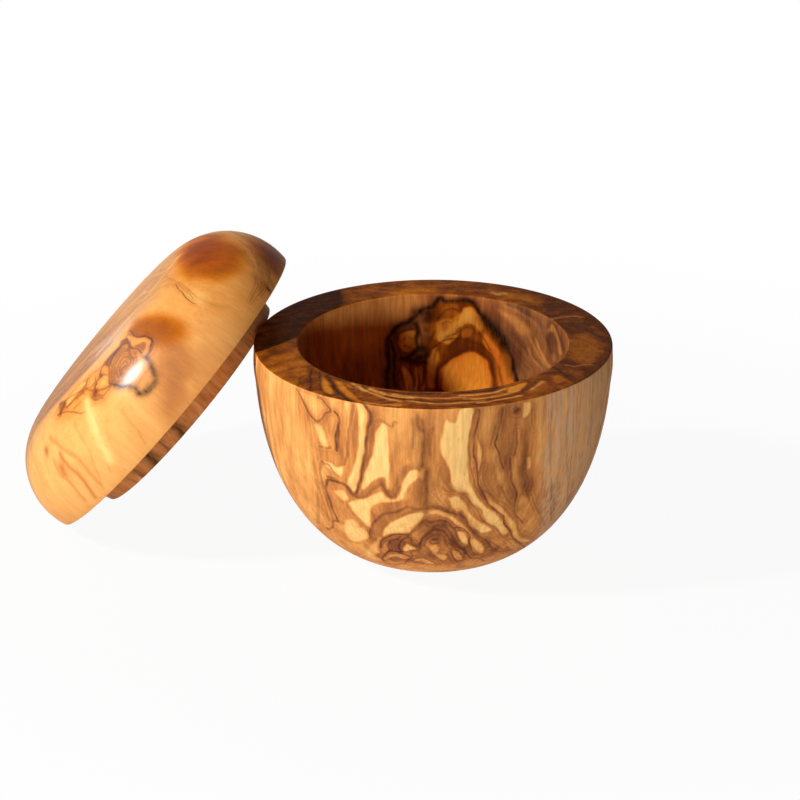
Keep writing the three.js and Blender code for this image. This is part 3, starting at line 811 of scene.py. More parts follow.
HOLLOW_VEINS = [
    (0.95, 1.6, [(1, 40.5), (1.5, 45), (3.5, 49), (6.5, 52), (10.5, 54.5), (15, 55), (19, 53),
        (21, 49.5), (21.5, 43.5)]),
    (0.7, 0.8, [(0, 55), (3.5, 57.5), (8, 58.5), (13, 58), (17, 57), (21, 53.5), (23.5, 48.5),
        (24.5, 44)]),
    (0.6, 0.7, [(5, 59), (9, 61), (11.5, 64), (14.5, 63.5), (17, 60.5), (20, 56)]),
    (0.7, 0.8, [(-4, 41.5), (-3, 47.5), (-2.5, 52.5), (-1.5, 57.5), (1, 61)]),
    (0.8, 0.9, [(-6.5, 41.5), (-6, 46), (-4.5, 49)]),
    (0.7, 0.7, [(-13, 42), (-12, 47.5), (-11, 51), (-12, 54.5), (-12.5, 58), (-11.5, 61), (-8, 62),
        (-5, 61), (-4, 57.5), (-4.5, 53.5)]),
    (0.7, 0.8, [(1.5, 65), (3.5, 68.5), (6.5, 69.5), (9.5, 69), (9, 70.5), (12, 71)]),
    (0.5, 0.5, [(-11, 58), (-9, 59), (-7, 57.5), (-8, 55.5), (-10, 56)]),
    (0.5, 0.8, [(-12.5, 54), (-12, 50), (-11, 45.5), (-9.5, 40.5)]),
    (0.6, 0.9, [(-6.5, 50), (-5.5, 45), (-5, 40.5)]),
    (0.5, 0.8, [(-8, 50), (-7.5, 45), (-7, 40.5)]),
    (0.6, 1, [(-2.5, 51.5), (-2.5, 46), (-2.5, 40)]),
    (0.55, 1, [(2.5, 40), (3, 45), (2.5, 48)]),
    (0.55, 0.9, [(-12, 59.5), (-12.5, 57), (-11.5, 54.5), (-9, 53.5), (-6.5, 54)]),
    (0.7, 1.6, [(-2.5, 61.5), (-2, 61)]),
    (0.5, 1.2, [(2, 40), (1, 45), (0.5, 49.5), (1, 53.5), (2.5, 55)]),
    (0.4, 0.8, [(6.5, 64.5), (5, 65), (3.5, 64)]),
    (0.5, 0.9, [(8.5, 61), (9.5, 62.5), (12, 63), (14, 62.5), (14.5, 61)]),
    (0.5, 1, [(21.5, 44.5), (21, 49), (19.5, 54), (17, 56.5)]),
    (0.45, 1.2, [(20, 54.5), (21, 50), (22, 46.5), (21.5, 44.5)]),
    (0.4, 1, [(23.5, 54.5), (25, 51.5), (26.5, 48)]),
    (0.5, 0.8, [(21.5, 65.5), (26, 63.5), (30.5, 60.5), (34, 57.5), (37, 56)]),
    (0.5, 0.8, [(23, 63), (27.5, 59.5), (31, 56.5), (34.5, 54)]),
    (0.4, 0.8, [(25.5, 65), (29.5, 62.5), (33, 59.5), (35.5, 57.5)]),
    (0.45, 0.9, [(27.5, 57.5), (30.5, 55), (33.5, 52.5)]),
    (0.6, 1.2, [(35, 72.5), (37.5, 70), (39, 66.5), (40.5, 63)]),
    (0.5, 0.9, [(41.5, 73.5), (43, 71), (44, 68)]),
]

HOLLOW_SMOKE = [
    (0.9, 1.8, [(-16, 41.5), (-16, 46), (-15.5, 50.5), (-16, 55.5), (-15.5, 59.5), (-14, 61.5),
        (-11.5, 64), (-8.5, 65), (-6, 67), (-3.5, 69), (-0.5, 70)]),
    (0.7, 3, [(-6, 68), (-3.5, 68), (-1, 67), (-2, 65.5)]),
    (0.9, 1.8, [(-0.5, 70), (1, 72), (2.5, 73.5), (4, 72.5), (6, 72.5), (9, 72.5), (12, 73), (14, 72),
        (16, 69.5), (18, 67)]),
    (0.92, 4.2, [(18, 67), (21, 64), (24, 61.5), (25.5, 58)]),
    (0.9, 1.8, [(25.5, 58), (27, 55.5), (28, 52), (29, 49), (29.5, 46.5)]),
    (0.85, 1.6, [(-6, 64), (-5.5, 61), (-6, 58), (-5.5, 54.5), (-6.5, 53), (-9, 52), (-11.5, 51.5)]),
    (0.8, 2.4, [(-6, 54), (-3, 54.5), (-2, 52), (-5, 51.5)]),
    (0.75, 2, [(-11, 51.5), (-7.5, 50.5), (-2.5, 49.5)]),
    (0.8, 1.6, [(-14.5, 58.5), (-14, 54), (-13.5, 49), (-13.5, 43)]),
]

# Places across and back on the rim

RIM_PATCHES = [
    (1.12, 8, [(30, 62), (64, 62), (64, -40), (44, -34), (40, 0), (34, 30)]),
    (0.55, 3, [(45.5, 1.5), (50.5, 6), (55.5, -0.5), (55.5, -13), (50.5, -21.5), (45.5, -17.5)]),
    (0.98, 2, [(42, -13), (47, -21.5), (49.5, -27.5), (46.5, -33.5), (41.5, -28.5)]),
    (0.5, 4, [(-14.5, 47), (-5, 52), (1.5, 50.5), (-1.5, 45), (-12.5, 39), (-19, 34.5)]),
    (0.5, 3, [(22.5, 47.5), (30.5, 45), (37.5, 38), (34, 32.5), (25.5, 39)]),
    (0.98, 2, [(17.5, 42.5), (25.5, 36.5), (33.5, 29), (40, 19), (44.5, 8), (42, 8), (36, 19),
        (28.5, 30), (19, 39)]),
    (0.95, 2, [(3.5, 55.5), (10, 56.5), (14.5, 52), (9.5, 48), (5, 49.5)]),
    (0.66, 2, [(-56.5, -20), (-45.5, -7.5), (-43.5, -17), (-40, -26), (-43, -39), (-44, -42),
        (-52, -32.5)]),
    (0.12, 0.7, [(-36, -32.5), (-35, -31.5), (-34, -36.5), (-32.5, -41), (-32, -46.5), (-33.5, -48.5),
        (-35, -46), (-36, -40.5), (-36.5, -35.5)]),
    (0.3, 0.8, [(-31.5, -35.5), (-29, -39), (-27.5, -43.5), (-26, -46.5), (-24.5, -50.5), (-23, -54.5),
        (-25, -53.5), (-27.5, -50), (-29.5, -45), (-31.5, -39.5)]),
    (0.3, 0.6, [(-29.5, -37), (-27, -38), (-25.5, -42), (-27, -42)]),
    (0.12, 0.5, [(-21, -42), (-19, -43), (-18, -46.5), (-20, -45)]),
    (0.12, 0.6, [(24.5, -42), (27.5, -39), (30, -37.5), (29, -42), (26.5, -46), (24.5, -47), (24, -45)]),
    (0.5, 0.8, [(39, -32), (41, -31.5), (43, -34.5), (41, -37.5), (39, -37.5)]),
]

RIM_STREAKS = [
    (0.25, 1.1, [(-26, -39), (-22, -43.5), (-18.5, -48), (-15.5, -51), (-10.5, -53.5)]),
    (0.35, 0.9, [(-21.5, -54.5), (-17, -56.5), (-10.5, -57)]),
    (0.28, 1, [(-25, -42), (-20, -46), (-14, -49), (-6.5, -51)]),
    (0.2, 1.2, [(-20, -44), (-17.5, -45.5), (-15.5, -47.5)]),
    (0.3, 0.9, [(-12.5, -48), (-5, -50.5), (2.5, -51), (10, -50.5)]),
    (0.35, 0.8, [(-8.5, -53), (-0.5, -55.5), (8.5, -55), (16, -53)]),
    (0.2, 1, [(8.5, -49), (14.5, -48), (20.5, -45.5), (23.5, -43)]),
    (0.28, 0.9, [(10, -52), (17.5, -50.5), (23.5, -47.5), (28, -44)]),
    (0.25, 0.8, [(14.5, -55), (22, -52), (28, -48.5)]),
    (0.35, 1.2, [(31.5, -43), (34, -39), (35.5, -36.5)]),
    (0.5, 1.2, [(39, 19), (41, 21), (44, 22.5), (48.5, 23), (50.5, 22)]),
    (0.5, 0.8, [(43.5, -22), (46.5, -23), (49.5, -22), (52, -21.5)]),
    (0.15, 1.5, [(22.5, 44.5), (24, 46), (25, 45.5)]),
    (0.2, 1.6, [(21, 46), (23, 44.5)]),
]

RIM_VEINS = [
    (0.3, 0.6, [(-47.5, -17.5), (-47.5, -25), (-47.5, -33)]),
    (0.3, 0.6, [(-46.5, -18.5), (-47, -26), (-46.5, -35.5)]),
    (0.28, 0.6, [(-45.5, -17.5), (-46, -25), (-46, -36.5)]),
    (0.28, 0.6, [(-44, -19.5), (-45, -27.5), (-45, -38)]),
    (0.55, 1.5, [(-40.5, -25), (-41, -31), (-42.5, -33), (-43, -36.5), (-43.5, -41)]),
    (0.8, 1.3, [(-39.5, -26), (-40, -31), (-39.5, -35.5), (-39.5, -41), (-39.5, -44.5)]),
    (0.9, 1.7, [(-34.5, -32.5), (-33.5, -35.5), (-32.5, -39.5), (-31, -44.5), (-29, -49), (-27, -53),
        (-25.5, -54.5)]),
    (0.7, 1.2, [(-37, -29), (-36.5, -34), (-36.5, -39.5), (-35, -46), (-33, -49)]),
    (0.7, 1.2, [(-32, -34), (-30.5, -35.5), (-28, -38), (-25.5, -41), (-23.5, -44.5)]),
    (0.8, 1, [(-23, -41), (-19, -46.5), (-15.5, -49), (-10.5, -51.5)]),
    (0.7, 1.2, [(-31, -50), (-27, -54), (-21, -57), (-15.5, -58.5), (-10.5, -59)]),
    (0.85, 1.2, [(-17, -44.5), (-11, -46.5), (-5, -47.5), (2.5, -47)]),
    (0.8, 1.1, [(-15, -50), (-6.5, -53), (2.5, -54), (11.5, -52.5)]),
    (0.7, 1, [(-5, -57), (4, -58), (14.5, -56), (23.5, -52.5)]),
    (0.9, 1.3, [(7, -46.5), (13, -46), (18.5, -44.5), (20.5, -42)]),
    (0.7, 0.9, [(10, -54), (19, -52), (26.5, -48), (31, -43)]),
    (0.8, 1.2, [(28.5, -45), (32, -41), (34, -37)]),
    (0.6, 2.6, [(27.5, 37.5), (30.5, 38.5), (33, 35), (35, 32.5), (38.5, 31.5), (41.5, 28.5)]),
    (0.35, 1.6, [(40.5, 12.5), (45, 12), (48, 10), (53.5, 12)]),
    (0.3, 1.2, [(42.5, 20), (47, 19.5), (51, 18.5), (55.5, 17.5)]),
    (0.35, 0.9, [(44, -10.5), (46.5, -16), (49.5, -20), (51, -21.5)]),
    (0.75, 3, [(43, -18.5), (44, -17.5)]),
    (0.5, 4.5, [(44.5, -28.5), (45, -27.5)]),
    (0.85, 1.5, [(39, -24), (41.5, -27.5), (43.5, -32), (46, -37.5)]),
    (0.5, 1.2, [(35, -33.5), (37, -36.5), (39, -41), (40, -42.5)]),
    (0.45, 1.4, [(18, 43.5), (21.5, 42.5), (25.5, 45.5), (26.5, 46.5)]),
    (0.3, 3, [(2, 53), (7.5, 47), (14, 46)]),
    (0.3, 2, [(25.5, 49), (31.5, 44.5), (37, 38.5), (43, 32)]),
]

# Places round the lid's crown, as if the cap were pressed flat from its middle

LID_TRAIL = [
    (-18.5, -37.5), (-6.5, -39.5), (7, -45.5), (10, -55.5), (5, -57), (-2.5, -53), (-13, -49.5),
]
AMBER_BLOB = [
    (42, -9), (38, 16.5), (49, 13.5), (57, 2.5), (62.5, -5), (64, -14), (61, -22), (55, -26),
    (50, -24.5), (45.5, -21.5),
]
AMBER_CORE = [(43.5, -8.5), (41, 11), (45, 11), (52.5, 0), (55.5, -7), (53.5, -14), (48.5, -16.5)]
AMBER_TIP = [(63, 11), (68, 15.5), (76, 19.5), (78.5, -6.5), (72.5, -6), (68, 0.5)]

LID_PATCHES = [
    (0.5, 9, [(32.5, -45.5), (40.5, -51.5), (44.5, -61.5), (20.5, -75.5), (23, -67), (27.5, -56.5)]),
    (0.34, 4, LID_TRAIL),
    (0.45, 8, [(-44, -8), (-26, -24), (0, -31), (20, -26), (33, -12), (42, 6), (44, 30), (-38, 30)]),
    (0.84, 8, [(-62, 2), (-46, -12), (-22, -25), (2, -30), (12, -22), (4, -2), (-10, 20), (-54, 20)]),
    (0.3, 8, [(39.5, -17), (48.5, -4), (66.5, 7.5), (78, 17), (62, -50), (51.5, -57.5), (43, -50.5),
        (37.5, -39.5)]),
    (0.7, 4, [(24.5, -32.5), (30, -36), (36, -39.5), (40.5, -44.5), (41.5, -48), (38.5, -51), (34, -51),
        (31, -49), (30, -46), (26, -42), (23.5, -38.5)]),
    (0.66, 6, [(31.5, -47.5), (38, -52.5), (36.5, -59.5), (29.5, -69.5), (22, -73), (25.5, -63),
        (28, -55)]),
    (0.66, 4, AMBER_BLOB),
    (0.8, 5, AMBER_CORE),
    (0.78, 5, AMBER_TIP),
    (0.1, 2, [(43, -29.5), (47, -31.5), (51.5, -34), (50, -38.5), (46, -37), (42.5, -32)]),
    (0.35, 3, [(60.5, -28.5), (71, -16), (69.5, -36), (61.5, -37.5)]),
    (0.3, 1.5, [(-11, -44), (-5.5, -47.5), (-3, -47), (-1.5, -46.5), (-2, -51), (-5, -53), (-8, -55.5),
        (-16.5, -46.5), (-15, -43.5)]),
    (0.22, 0.6, [(10.5, -43), (9, -44), (7.5, -44), (4.5, -43), (2.5, -43.5), (1, -43), (0.5, -45),
        (1.5, -47.5), (3.5, -50), (5, -52), (7.5, -52.5), (9, -53), (10.5, -51), (11.5, -46.5)]),
    (0.1, 0.5, [(1, -43.5), (-1, -44), (-3, -44), (-5, -44), (-7.5, -43.5), (-10, -43.5), (-11, -42.5),
        (-11.5, -39), (-8, -40), (-4, -40.5), (-1, -41)]),
    (0.1, 0.5, [(6.5, -47.5), (8.5, -48.5), (10, -50), (9, -53), (7, -52), (4.5, -51), (4.5, -49)]),
    (0.8, 0.8, [(-15.5, -34), (-12, -38.5), (-11, -41), (-12, -42.5), (-14, -43), (-15, -43.5)]),
    (0.85, 0.6, [(21, -40), (18.5, -38.5), (17, -40.5), (15, -41), (12.5, -41.5), (10.5, -42.5),
        (10, -44), (11.5, -46.5), (13, -44.5), (15.5, -43), (17.5, -42), (20, -42.5), (22, -43)]),
    (0.64, 0.6, [(20, -43), (21.5, -45), (21.5, -46.5), (23, -48), (24, -51), (24, -52.5), (22, -52.5),
        (20, -53.5), (17, -55), (14.5, -55.5), (12, -55), (10.5, -54), (10, -52.5), (11, -49.5),
        (12, -46.5), (14, -44), (17, -42.5)]),
    (0.12, 0.5, [(21, -39), (22.5, -40), (24.5, -42.5), (26.5, -44), (27.5, -45), (28.5, -46),
        (29, -47.5), (28, -48.5), (27, -49.5), (25.5, -51), (25, -50.5), (26, -49), (27, -47.5),
        (26.5, -46.5), (24.5, -46), (23, -46), (22, -44.5), (21.5, -42)]),
    (0.7, 0.4, [(23, -46), (24.5, -46), (26.5, -46.5), (27, -47.5), (26, -49), (24.5, -49.5),
        (23.5, -48)]),
    (0.45, 0.6, [(25.5, -57), (24.5, -58), (23, -59.5), (21, -60.5), (20, -61.5), (18.5, -62),
        (17.5, -61), (17.5, -60), (19, -58.5), (22, -57), (24, -56.5)]),
    (0.42, 0.6, [(23, -48.5), (24, -51), (24.5, -52), (25.5, -52.5), (25.5, -56), (22, -57),
        (18.5, -58.5), (15, -57.5), (14.5, -55.5), (17, -55), (20, -54), (22, -52.5)]),
]

LID_STREAKS = [
    (0.8, 2, [(-62, -12), (-48, -17), (-36, -20), (-24, -23), (-12, -27), (0, -30), (12, -32)]),
    (0.16, 2.6, [(4, -26), (15, -24), (25, -19), (33, -11), (39, 0)]),
    (0.06, 3, [(-1.5, -51), (-2.5, -55.5), (-4, -59.5), (-6, -64), (-7.5, -68), (-10, -71)]),
    (0.6, 1.5, [(-24, -53.5), (-24.5, -58.5), (-25, -63.5), (-27.5, -68), (-31.5, -71)]),
    (0.5, 1.2, [(-28.5, -51.5), (-30.5, -56), (-31.5, -61.5), (-35.5, -66.5)]),
    (0.5, 1.4, [(-23.5, -44.5), (-21.5, -52), (-19, -62.5), (-22.5, -71.5)]),
    (0.7, 2.2, [(-28.5, -45), (-28.5, -46)]),
    (0.6, 3, [(-28, -56), (-29, -57.5)]),
    (0.3, 3, [(35.5, -67), (35.5, -69)]),
]

LID_VEINS = [
    (0.55, 0.6, [(-15.5, -36.5), (-6.5, -42), (1, -47), (7.5, -47.5)]),
    (0.45, 0.5, [(-8, -48), (-1, -50), (5, -54.5)]),
    (0.5, 0.6, [(-16.5, -41), (-10.5, -46.5), (-5.5, -53), (-0.5, -54)]),
    (0.4, 0.5, [(-2.5, -45), (-1, -50), (-3.5, -51.5)]),
    (0.2, 1, [(35, -12), (42, -24.5), (47, -33), (52, -38), (57.5, -39)]),
    (0.25, 0.8, [(63.5, 8.5), (70.5, -2), (74.5, -11.5), (74.5, -22)]),
    (0.25, 0.8, [(61.5, 3.5), (69, -7.5), (72, -16), (71.5, -27.5)]),
    (0.2, 0.8, [(59.5, -3), (66, -12.5), (69, -20.5), (68, -32.5)]),
    (0.22, 0.8, [(-2, -52), (-2.5, -60.5), (-7, -67), (-14.5, -73.5)]),
    (0.2, 0.8, [(-10.5, -52.5), (-12, -62), (-18, -69.5), (-24.5, -73)]),
    (0.18, 0.8, [(8, -63.5), (8, -70.5), (6, -76.5)]),
    (0.2, 0.7, [(-37, -28.5), (-39, -40), (-42.5, -46.5)]),
    (0.5, 0.9, [(-62, -17), (-46, -22), (-32, -25), (-20, -27), (-10, -30), (0, -32), (10, -33)]),
    (0.35, 0.7, [(70, -30), (73, -22), (74, -12), (73, -2), (70, 8)]),
    (0.35, 0.7, [(67, -34), (70, -25), (71, -14), (70, -4), (67, 6)]),
    (0.75, 0.5, [(41, -25), (43, -30), (44.5, -33.5), (46, -36.5), (47, -37.5)]),
    (0.35, 0.6, [(42.5, -26.5), (45, -31), (47, -35)]),
    (0.35, 1.6, [(65.5, 0), (69.5, -8.5), (71.5, -18), (74, -21.5)]),
    (0.35, 1.4, [(68.5, 4.5), (72, -7), (74, -15), (76.5, -18)]),
    (0.22, 1.6, [(64, -5.5), (68, -13), (70, -22), (71.5, -27)]),
    (0.8, 1.6, [(74.5, -22), (75.5, -22.5)]),
    (0.6, 0.9, [(10, -43.5), (9, -44), (8, -45), (7.5, -46.5), (7.5, -47.5)]),
    (0.85, 1.3, [(7.5, -46.5), (7.5, -47)]),
    (0.5, 0.7, [(8, -47), (9, -48.5), (10, -50)]),
    (0.8, 0.9, [(5, -48.5), (4, -49), (3, -50.5), (2, -51.5)]),
    (0.95, 1.8, [(3.5, -51), (2.5, -51.5)]),
    (0.6, 0.6, [(3, -51), (5, -52), (6.5, -53), (8.5, -53.5), (9.5, -54), (10.5, -54)]),
    (0.5, 0.6, [(2.5, -52), (4, -53.5), (5.5, -54.5), (7.5, -54.5), (9, -54.5)]),
    (0.5, 0.8, [(0.5, -50), (1, -52.5), (2.5, -54), (4.5, -55)]),
    (0.6, 0.9, [(1.5, -42), (1, -43), (0.5, -44.5), (-1, -44.5), (-1.5, -45)]),
    (0.4, 0.7, [(0, -46), (1.5, -48.5), (3, -50.5)]),
    (0.65, 0.9, [(-1.5, -46), (-3.5, -46), (-5.5, -45), (-6.5, -44.5), (-8, -44.5), (-10, -44),
        (-11, -43.5)]),
    (0.5, 0.7, [(-4, -45), (-5.5, -45), (-5, -46)]),
    (0.6, 1.2, [(-11.5, -40), (-13, -41), (-14.5, -42.5)]),
    (0.45, 0.8, [(5.5, -44), (5, -46), (5, -48.5)]),
    (0.8, 1, [(22, -45.5), (21.5, -44), (21, -42.5), (19.5, -42), (18, -42), (15.5, -42.5), (14, -44),
        (12.5, -45.5)]),
    (0.6, 0.8, [(12.5, -45.5), (11.5, -46.5), (11, -48.5), (10, -51), (10, -52.5)]),
    (0.85, 0.9, [(9.5, -52.5), (10, -53.5), (10.5, -54), (12, -55.5), (13, -57), (14.5, -57.5)]),
    (0.6, 0.9, [(14.5, -52.5), (15.5, -51.5), (16.5, -51), (17.5, -51)]),
    (0.35, 0.5, [(14.5, -52), (15, -50.5), (16, -49.5), (18, -49), (18.5, -50.5), (18, -51.5),
        (16, -52.5), (14.5, -53)]),
    (0.35, 0.5, [(13.5, -53), (13.5, -50.5), (15, -49), (17, -47.5), (19, -47.5), (20, -49.5),
        (19.5, -51), (17.5, -53), (15, -54)]),
    (0.35, 0.5, [(12, -53), (12.5, -50.5), (14, -48), (16.5, -46), (18.5, -45), (20, -45.5), (20.5, -47),
        (20.5, -49), (21, -50.5), (20, -52.5)]),
    (0.35, 0.5, [(11, -53), (11.5, -50), (13.5, -47), (15.5, -45), (18, -44), (19.5, -44),
        (20.5, -45.5)]),
    (0.35, 0.5, [(21, -45.5), (21, -47.5), (21, -49.5), (22, -50.5), (23, -50.5)]),
    (0.65, 0.7, [(21, -43.5), (21.5, -45.5), (22.5, -46.5), (23.5, -47.5), (24, -49), (24.5, -50)]),
    (0.92, 1, [(22.5, -37), (23.5, -40), (25, -42.5), (26.5, -43.5), (27.5, -44), (28.5, -45),
        (29.5, -46.5), (29.5, -47.5), (28.5, -49), (27.5, -50.5), (26.5, -51.5), (25.5, -52)]),
    (0.45, 2.6, [(23.5, -39), (26, -42), (28, -43.5), (29.5, -46)]),
    (0.5, 0.7, [(30, -48), (29, -49.5), (27.5, -51), (26.5, -51.5)]),
    (0.55, 0.7, [(22, -42.5), (22, -44.5), (22.5, -46)]),
]

LID_OIL = [
    (0.55, 5, LID_TRAIL),
    (0.35, 8, [(30, -8), (40, 14), (66, 14), (80, -12), (72, -38), (58, -46), (44, -42), (34, -28)]),
    (1.7, 6, AMBER_BLOB),
    (2, 5, AMBER_CORE),
    (1.7, 5, AMBER_TIP),
    (0.5, 2, [(-20, -36), (-12, -38), (-4, -40), (10, -43), (12, -50), (4, -54), (-4, -52), (-14, -46)]),
    (1.2, 4, [(24, -33), (31, -35), (41, -43), (41, -50), (33, -51), (27, -44), (22, -38)]),
    (0.45, 0.6, [(1, -43.5), (-5, -44), (-11, -42), (-11.5, -39), (-4, -40.5)]),
    (0.5, 0.6, [(10, -43), (4, -43), (0.5, -45), (3.5, -50), (8, -52.5), (11, -46)]),
    (0.4, 0.6, [(21, -39), (25, -42.5), (28.5, -46), (27, -50), (23.5, -46)]),
]

LID_SMOKE = [
    (0.8, 2, [(25.5, -52.5), (26, -54.5), (26, -56.5), (25.5, -58.5), (25, -60.5), (23.5, -62),
        (21.5, -63), (19.5, -63.5), (17.5, -63), (17, -61.5), (17, -60), (16.5, -59.5)]),
    (0.9, 2.4, [(22, -62.5), (20, -63), (18, -63), (17, -62)]),
    (0.75, 2.2, [(11.5, -55), (12.5, -56.5), (14.5, -57), (15.5, -58), (16, -59)]),
]

# The outline of the hard knot on the lid, which takes the most polish

LID_KNOT = [(2.5, -17), (16.5, -25), (30.5, -41.5), (35, -57), (26, -68.5), (15, -68), (8, -57.5)]

# Places round and up the side of the spigot

SPIGOT_PATCHES = [
    (0.98, 1.2, [(-79, 1), (-77, -2), (-78, -5), (-76, -8), (-72, -8), (-73, -3), (-75, 1)]),
    (0.95, 1, [(-63, 1), (-62, -3), (-64, -8), (-61, -8), (-59, -4), (-60, 1)]),
    (0.8, 4, [(-40, 1), (-40, -8), (14, -8), (14, 1)]),
]

SPIGOT_SMOKE = [
    (0.85, 3.4, [(-77, 1), (-75.5, -3), (-77, -8)]),
    (0.5, 1, [(-69.5, 1), (-69, -4), (-70, -8)]),
    (0.8, 3, [(-62, 1), (-61, -4), (-62.5, -8)]),
    (0.45, 0.8, [(-56, 0), (-56.5, -8)]),
    (0.7, 2.4, [(-86, 0), (-84.5, -8)]),
]

SPIGOT_STREAKS = [
    (0.9, 0.8, [(-92, 0), (-91, -4), (-92, -8)]),
    (0.3, 1.2, [(-87, 0), (-86, -4), (-87, -8)]),
    (0.85, 0.8, [(-68, 0), (-68.5, -4), (-67.5, -8)]),
    (0.8, 1, [(-52, 0), (-51, -4), (-53, -8)]),
]


def draw_all(figure, chosen, chart, patches, streaks=(), veins=(), smoke=(), oil=()):
    """Everything drawn on one part of a piece, from the broadest to the finest."""
    for tone, softness, points in patches:
        figure.patch(chosen, chart, tone, softness, points)
    for depth, softness, points in oil:
        figure.soak(chosen, chart, depth, softness, points)
    for strength, width, points in veins:
        figure.line(chosen, chart, strength, width, points)
    for tone, width, points in streaks:
        figure.streak(chosen, chart, tone, width, points)
    for strength, width, points in smoke:
        figure.smudge(chosen, chart, strength, width, points)


def draw_stripes(figure, chosen, chart, start, end, spacing, strength):
    """Fine upright growth lines, where the wall cuts the rings square on."""
    for count, across in enumerate(np.arange(start, end, spacing)):
        weight = 0.55 + 0.45 * math.sin(2.4 * count) * math.cos(1.3 * count)
        lean = 0.5 * math.sin(1.9 * count)
        width = 0.7 + 0.25 * math.cos(3.1 * count)
        points = [(across, 76), (across + lean, 55), (across - lean, 40), (across - 3 * lean, 22)]
        figure.line(chosen, chart, strength * weight, width, points)


def draw_front(figure, places):
    """The flames and the knot on the bowl's outer wall, which faces the viewer."""
    figure.tone[:] = WALL_TONE
    radius = off_axis(places)
    outer = (radius > pot_radius(places[:, 2]) - SKIN) & (places[:, 1] < 0)
    chosen = np.flatnonzero(outer & (places[:, 2] < POT_HEIGHT - THIN_SKIN))
    chart = wobbled(places[chosen][:, [0, 2]] / MM, size=5, amount=0.13)
    draw_all(figure, chosen, chart, FRONT_PATCHES, veins=FRONT_VEINS, smoke=FRONT_SMOKE)
    draw_stripes(figure, chosen, chart, start=35.5, end=60, spacing=1.4, strength=0.42)
    draw_stripes(figure, chosen, chart, start=-60, end=-41, spacing=1.9, strength=0.16)
    facing = -places[chosen, 1] / np.maximum(radius[chosen], MM)
    figure.oil[radius > MOUTH_RADIUS] = WALL_OIL
    figure.oil[chosen] *= 1 - faded_in(facing, *FRONT_OIL_FADE)
    figure.drawn[chosen] = faded_in(facing, *FRONT_DRAWN_FADE)
    figure.dry[chosen] = faded_in(chart[:, 0], *FRONT_DRY_FADE) * figure.drawn[chosen]


def paint_foot_shade(figure, places):
    """Painted shade round the foot's edge, darkest at the table and fading out upwards."""
    height = places[:, 2] / MM
    low = np.flatnonzero(height < FOOT_PAINTED_SHADE_HEIGHT)
    painted_shade = FOOT_PAINTED_SHADE_STRENGTH * (1 - height[low] / FOOT_PAINTED_SHADE_HEIGHT)
    figure.smoke[low] = np.maximum(figure.smoke[low], painted_shade)


def draw_hollow(figure, places):
    """The smoky arches on the far wall of the hollow."""
    radius = off_axis(places)
    wall = (radius < hollow_radius(places[:, 2]) + SKIN) & (places[:, 2] > FLOOR_THICKNESS)
    figure.tone[wall] = INNER_TONE
    figure.oil[wall] = INNER_OIL
    chosen = np.flatnonzero(wall & (places[:, 1] > INNER_BACK_FADE[0] * MM))
    chart = wobbled(places[chosen][:, [0, 2]] / MM, size=5, amount=0.2)
    draw_all(
        figure, chosen, chart, HOLLOW_PATCHES, HOLLOW_STREAKS, HOLLOW_VEINS, HOLLOW_SMOKE, HOLLOW_OIL
    )
    for strength, width, points in HOLLOW_SMOKE:
        figure.line(chosen, chart, INNER_LINES * strength, width, points)
    figure.growth[chosen] = figure.REACH
    right = faded_in(chart[:, 0], *INNER_RIGHT_FADE)
    figure.dry[chosen] = INNER_DRYNESS * right
    figure.smoke[chosen] = np.maximum(figure.smoke[chosen], INNER_SHADE * right)
    at_back = faded_in(places[chosen, 1] / MM, *INNER_BACK_FADE)
    figure.drawn[chosen] = at_back * faded_in(places[chosen, 2] / MM, *INNER_TOP_FADE)


def draw_rim(figure, places):
    """The end grain of the rim."""
    radius = off_axis(places)
    on_top = places[:, 2] > POT_HEIGHT - THIN_SKIN
    chosen = np.flatnonzero(on_top & (radius > MOUTH_RADIUS))
    chart = wobbled(places[chosen][:, :2] / MM, size=4, amount=0.15)
    across, back = chart.T
    shade = RIM_SHADE * (1 + faded_in(across, *RIM_RIGHT_FADE))
    figure.tone[chosen] = RIM_TONE
    figure.oil[chosen] = RIM_OIL
    figure.growth[chosen] = figure.REACH
    figure.vein[chosen] = 0
    figure.smoke[chosen] = shade * faded_in(back, *RIM_BACK_FADE)
    draw_all(figure, chosen, chart, RIM_PATCHES, RIM_STREAKS, RIM_VEINS)
    for strength, width, points in RIM_VEINS:
        figure.smudge(chosen, chart, RIM_SMUDGE * strength ** 2, width, points)
    figure.drawn[chosen] = RIM_DRAWN


def draw_pot(figure, places):
    """The bowl's whole figure, and the painted shade round its foot."""
    draw_front(figure, places)
    paint_foot_shade(figure, places)
    draw_hollow(figure, places)
    draw_rim(figure, places)


def near_figure(places, draw, reach):
    """True for each place that has a drawn line close by."""
    trial = Figure(len(places))
    draw(trial, places)
    return (trial.edge < reach) & (trial.drawn > 0)


def lid_run(places):
    """How far each place of the upright lid is from its crown's middle, along the surface."""
    radius = off_axis(places)
    shoulder = LID_RADIUS - SHOULDER_RADIUS
    tangent = math.acos(shoulder / (CROWN_RADIUS - SHOULDER_RADIUS))
    on_crown = CROWN_RADIUS * np.arcsin(np.minimum(radius / CROWN_RADIUS, 1))
    turn = np.arctan2(places[:, 2] - LID_WIDEST_HEIGHT, radius - shoulder)
    on_shoulder = CROWN_RADIUS * (math.pi / 2 - tangent) + SHOULDER_RADIUS * (tangent - turn)
    return np.where(radius < shoulder + SHOULDER_RADIUS * math.cos(tangent), on_crown, on_shoulder)


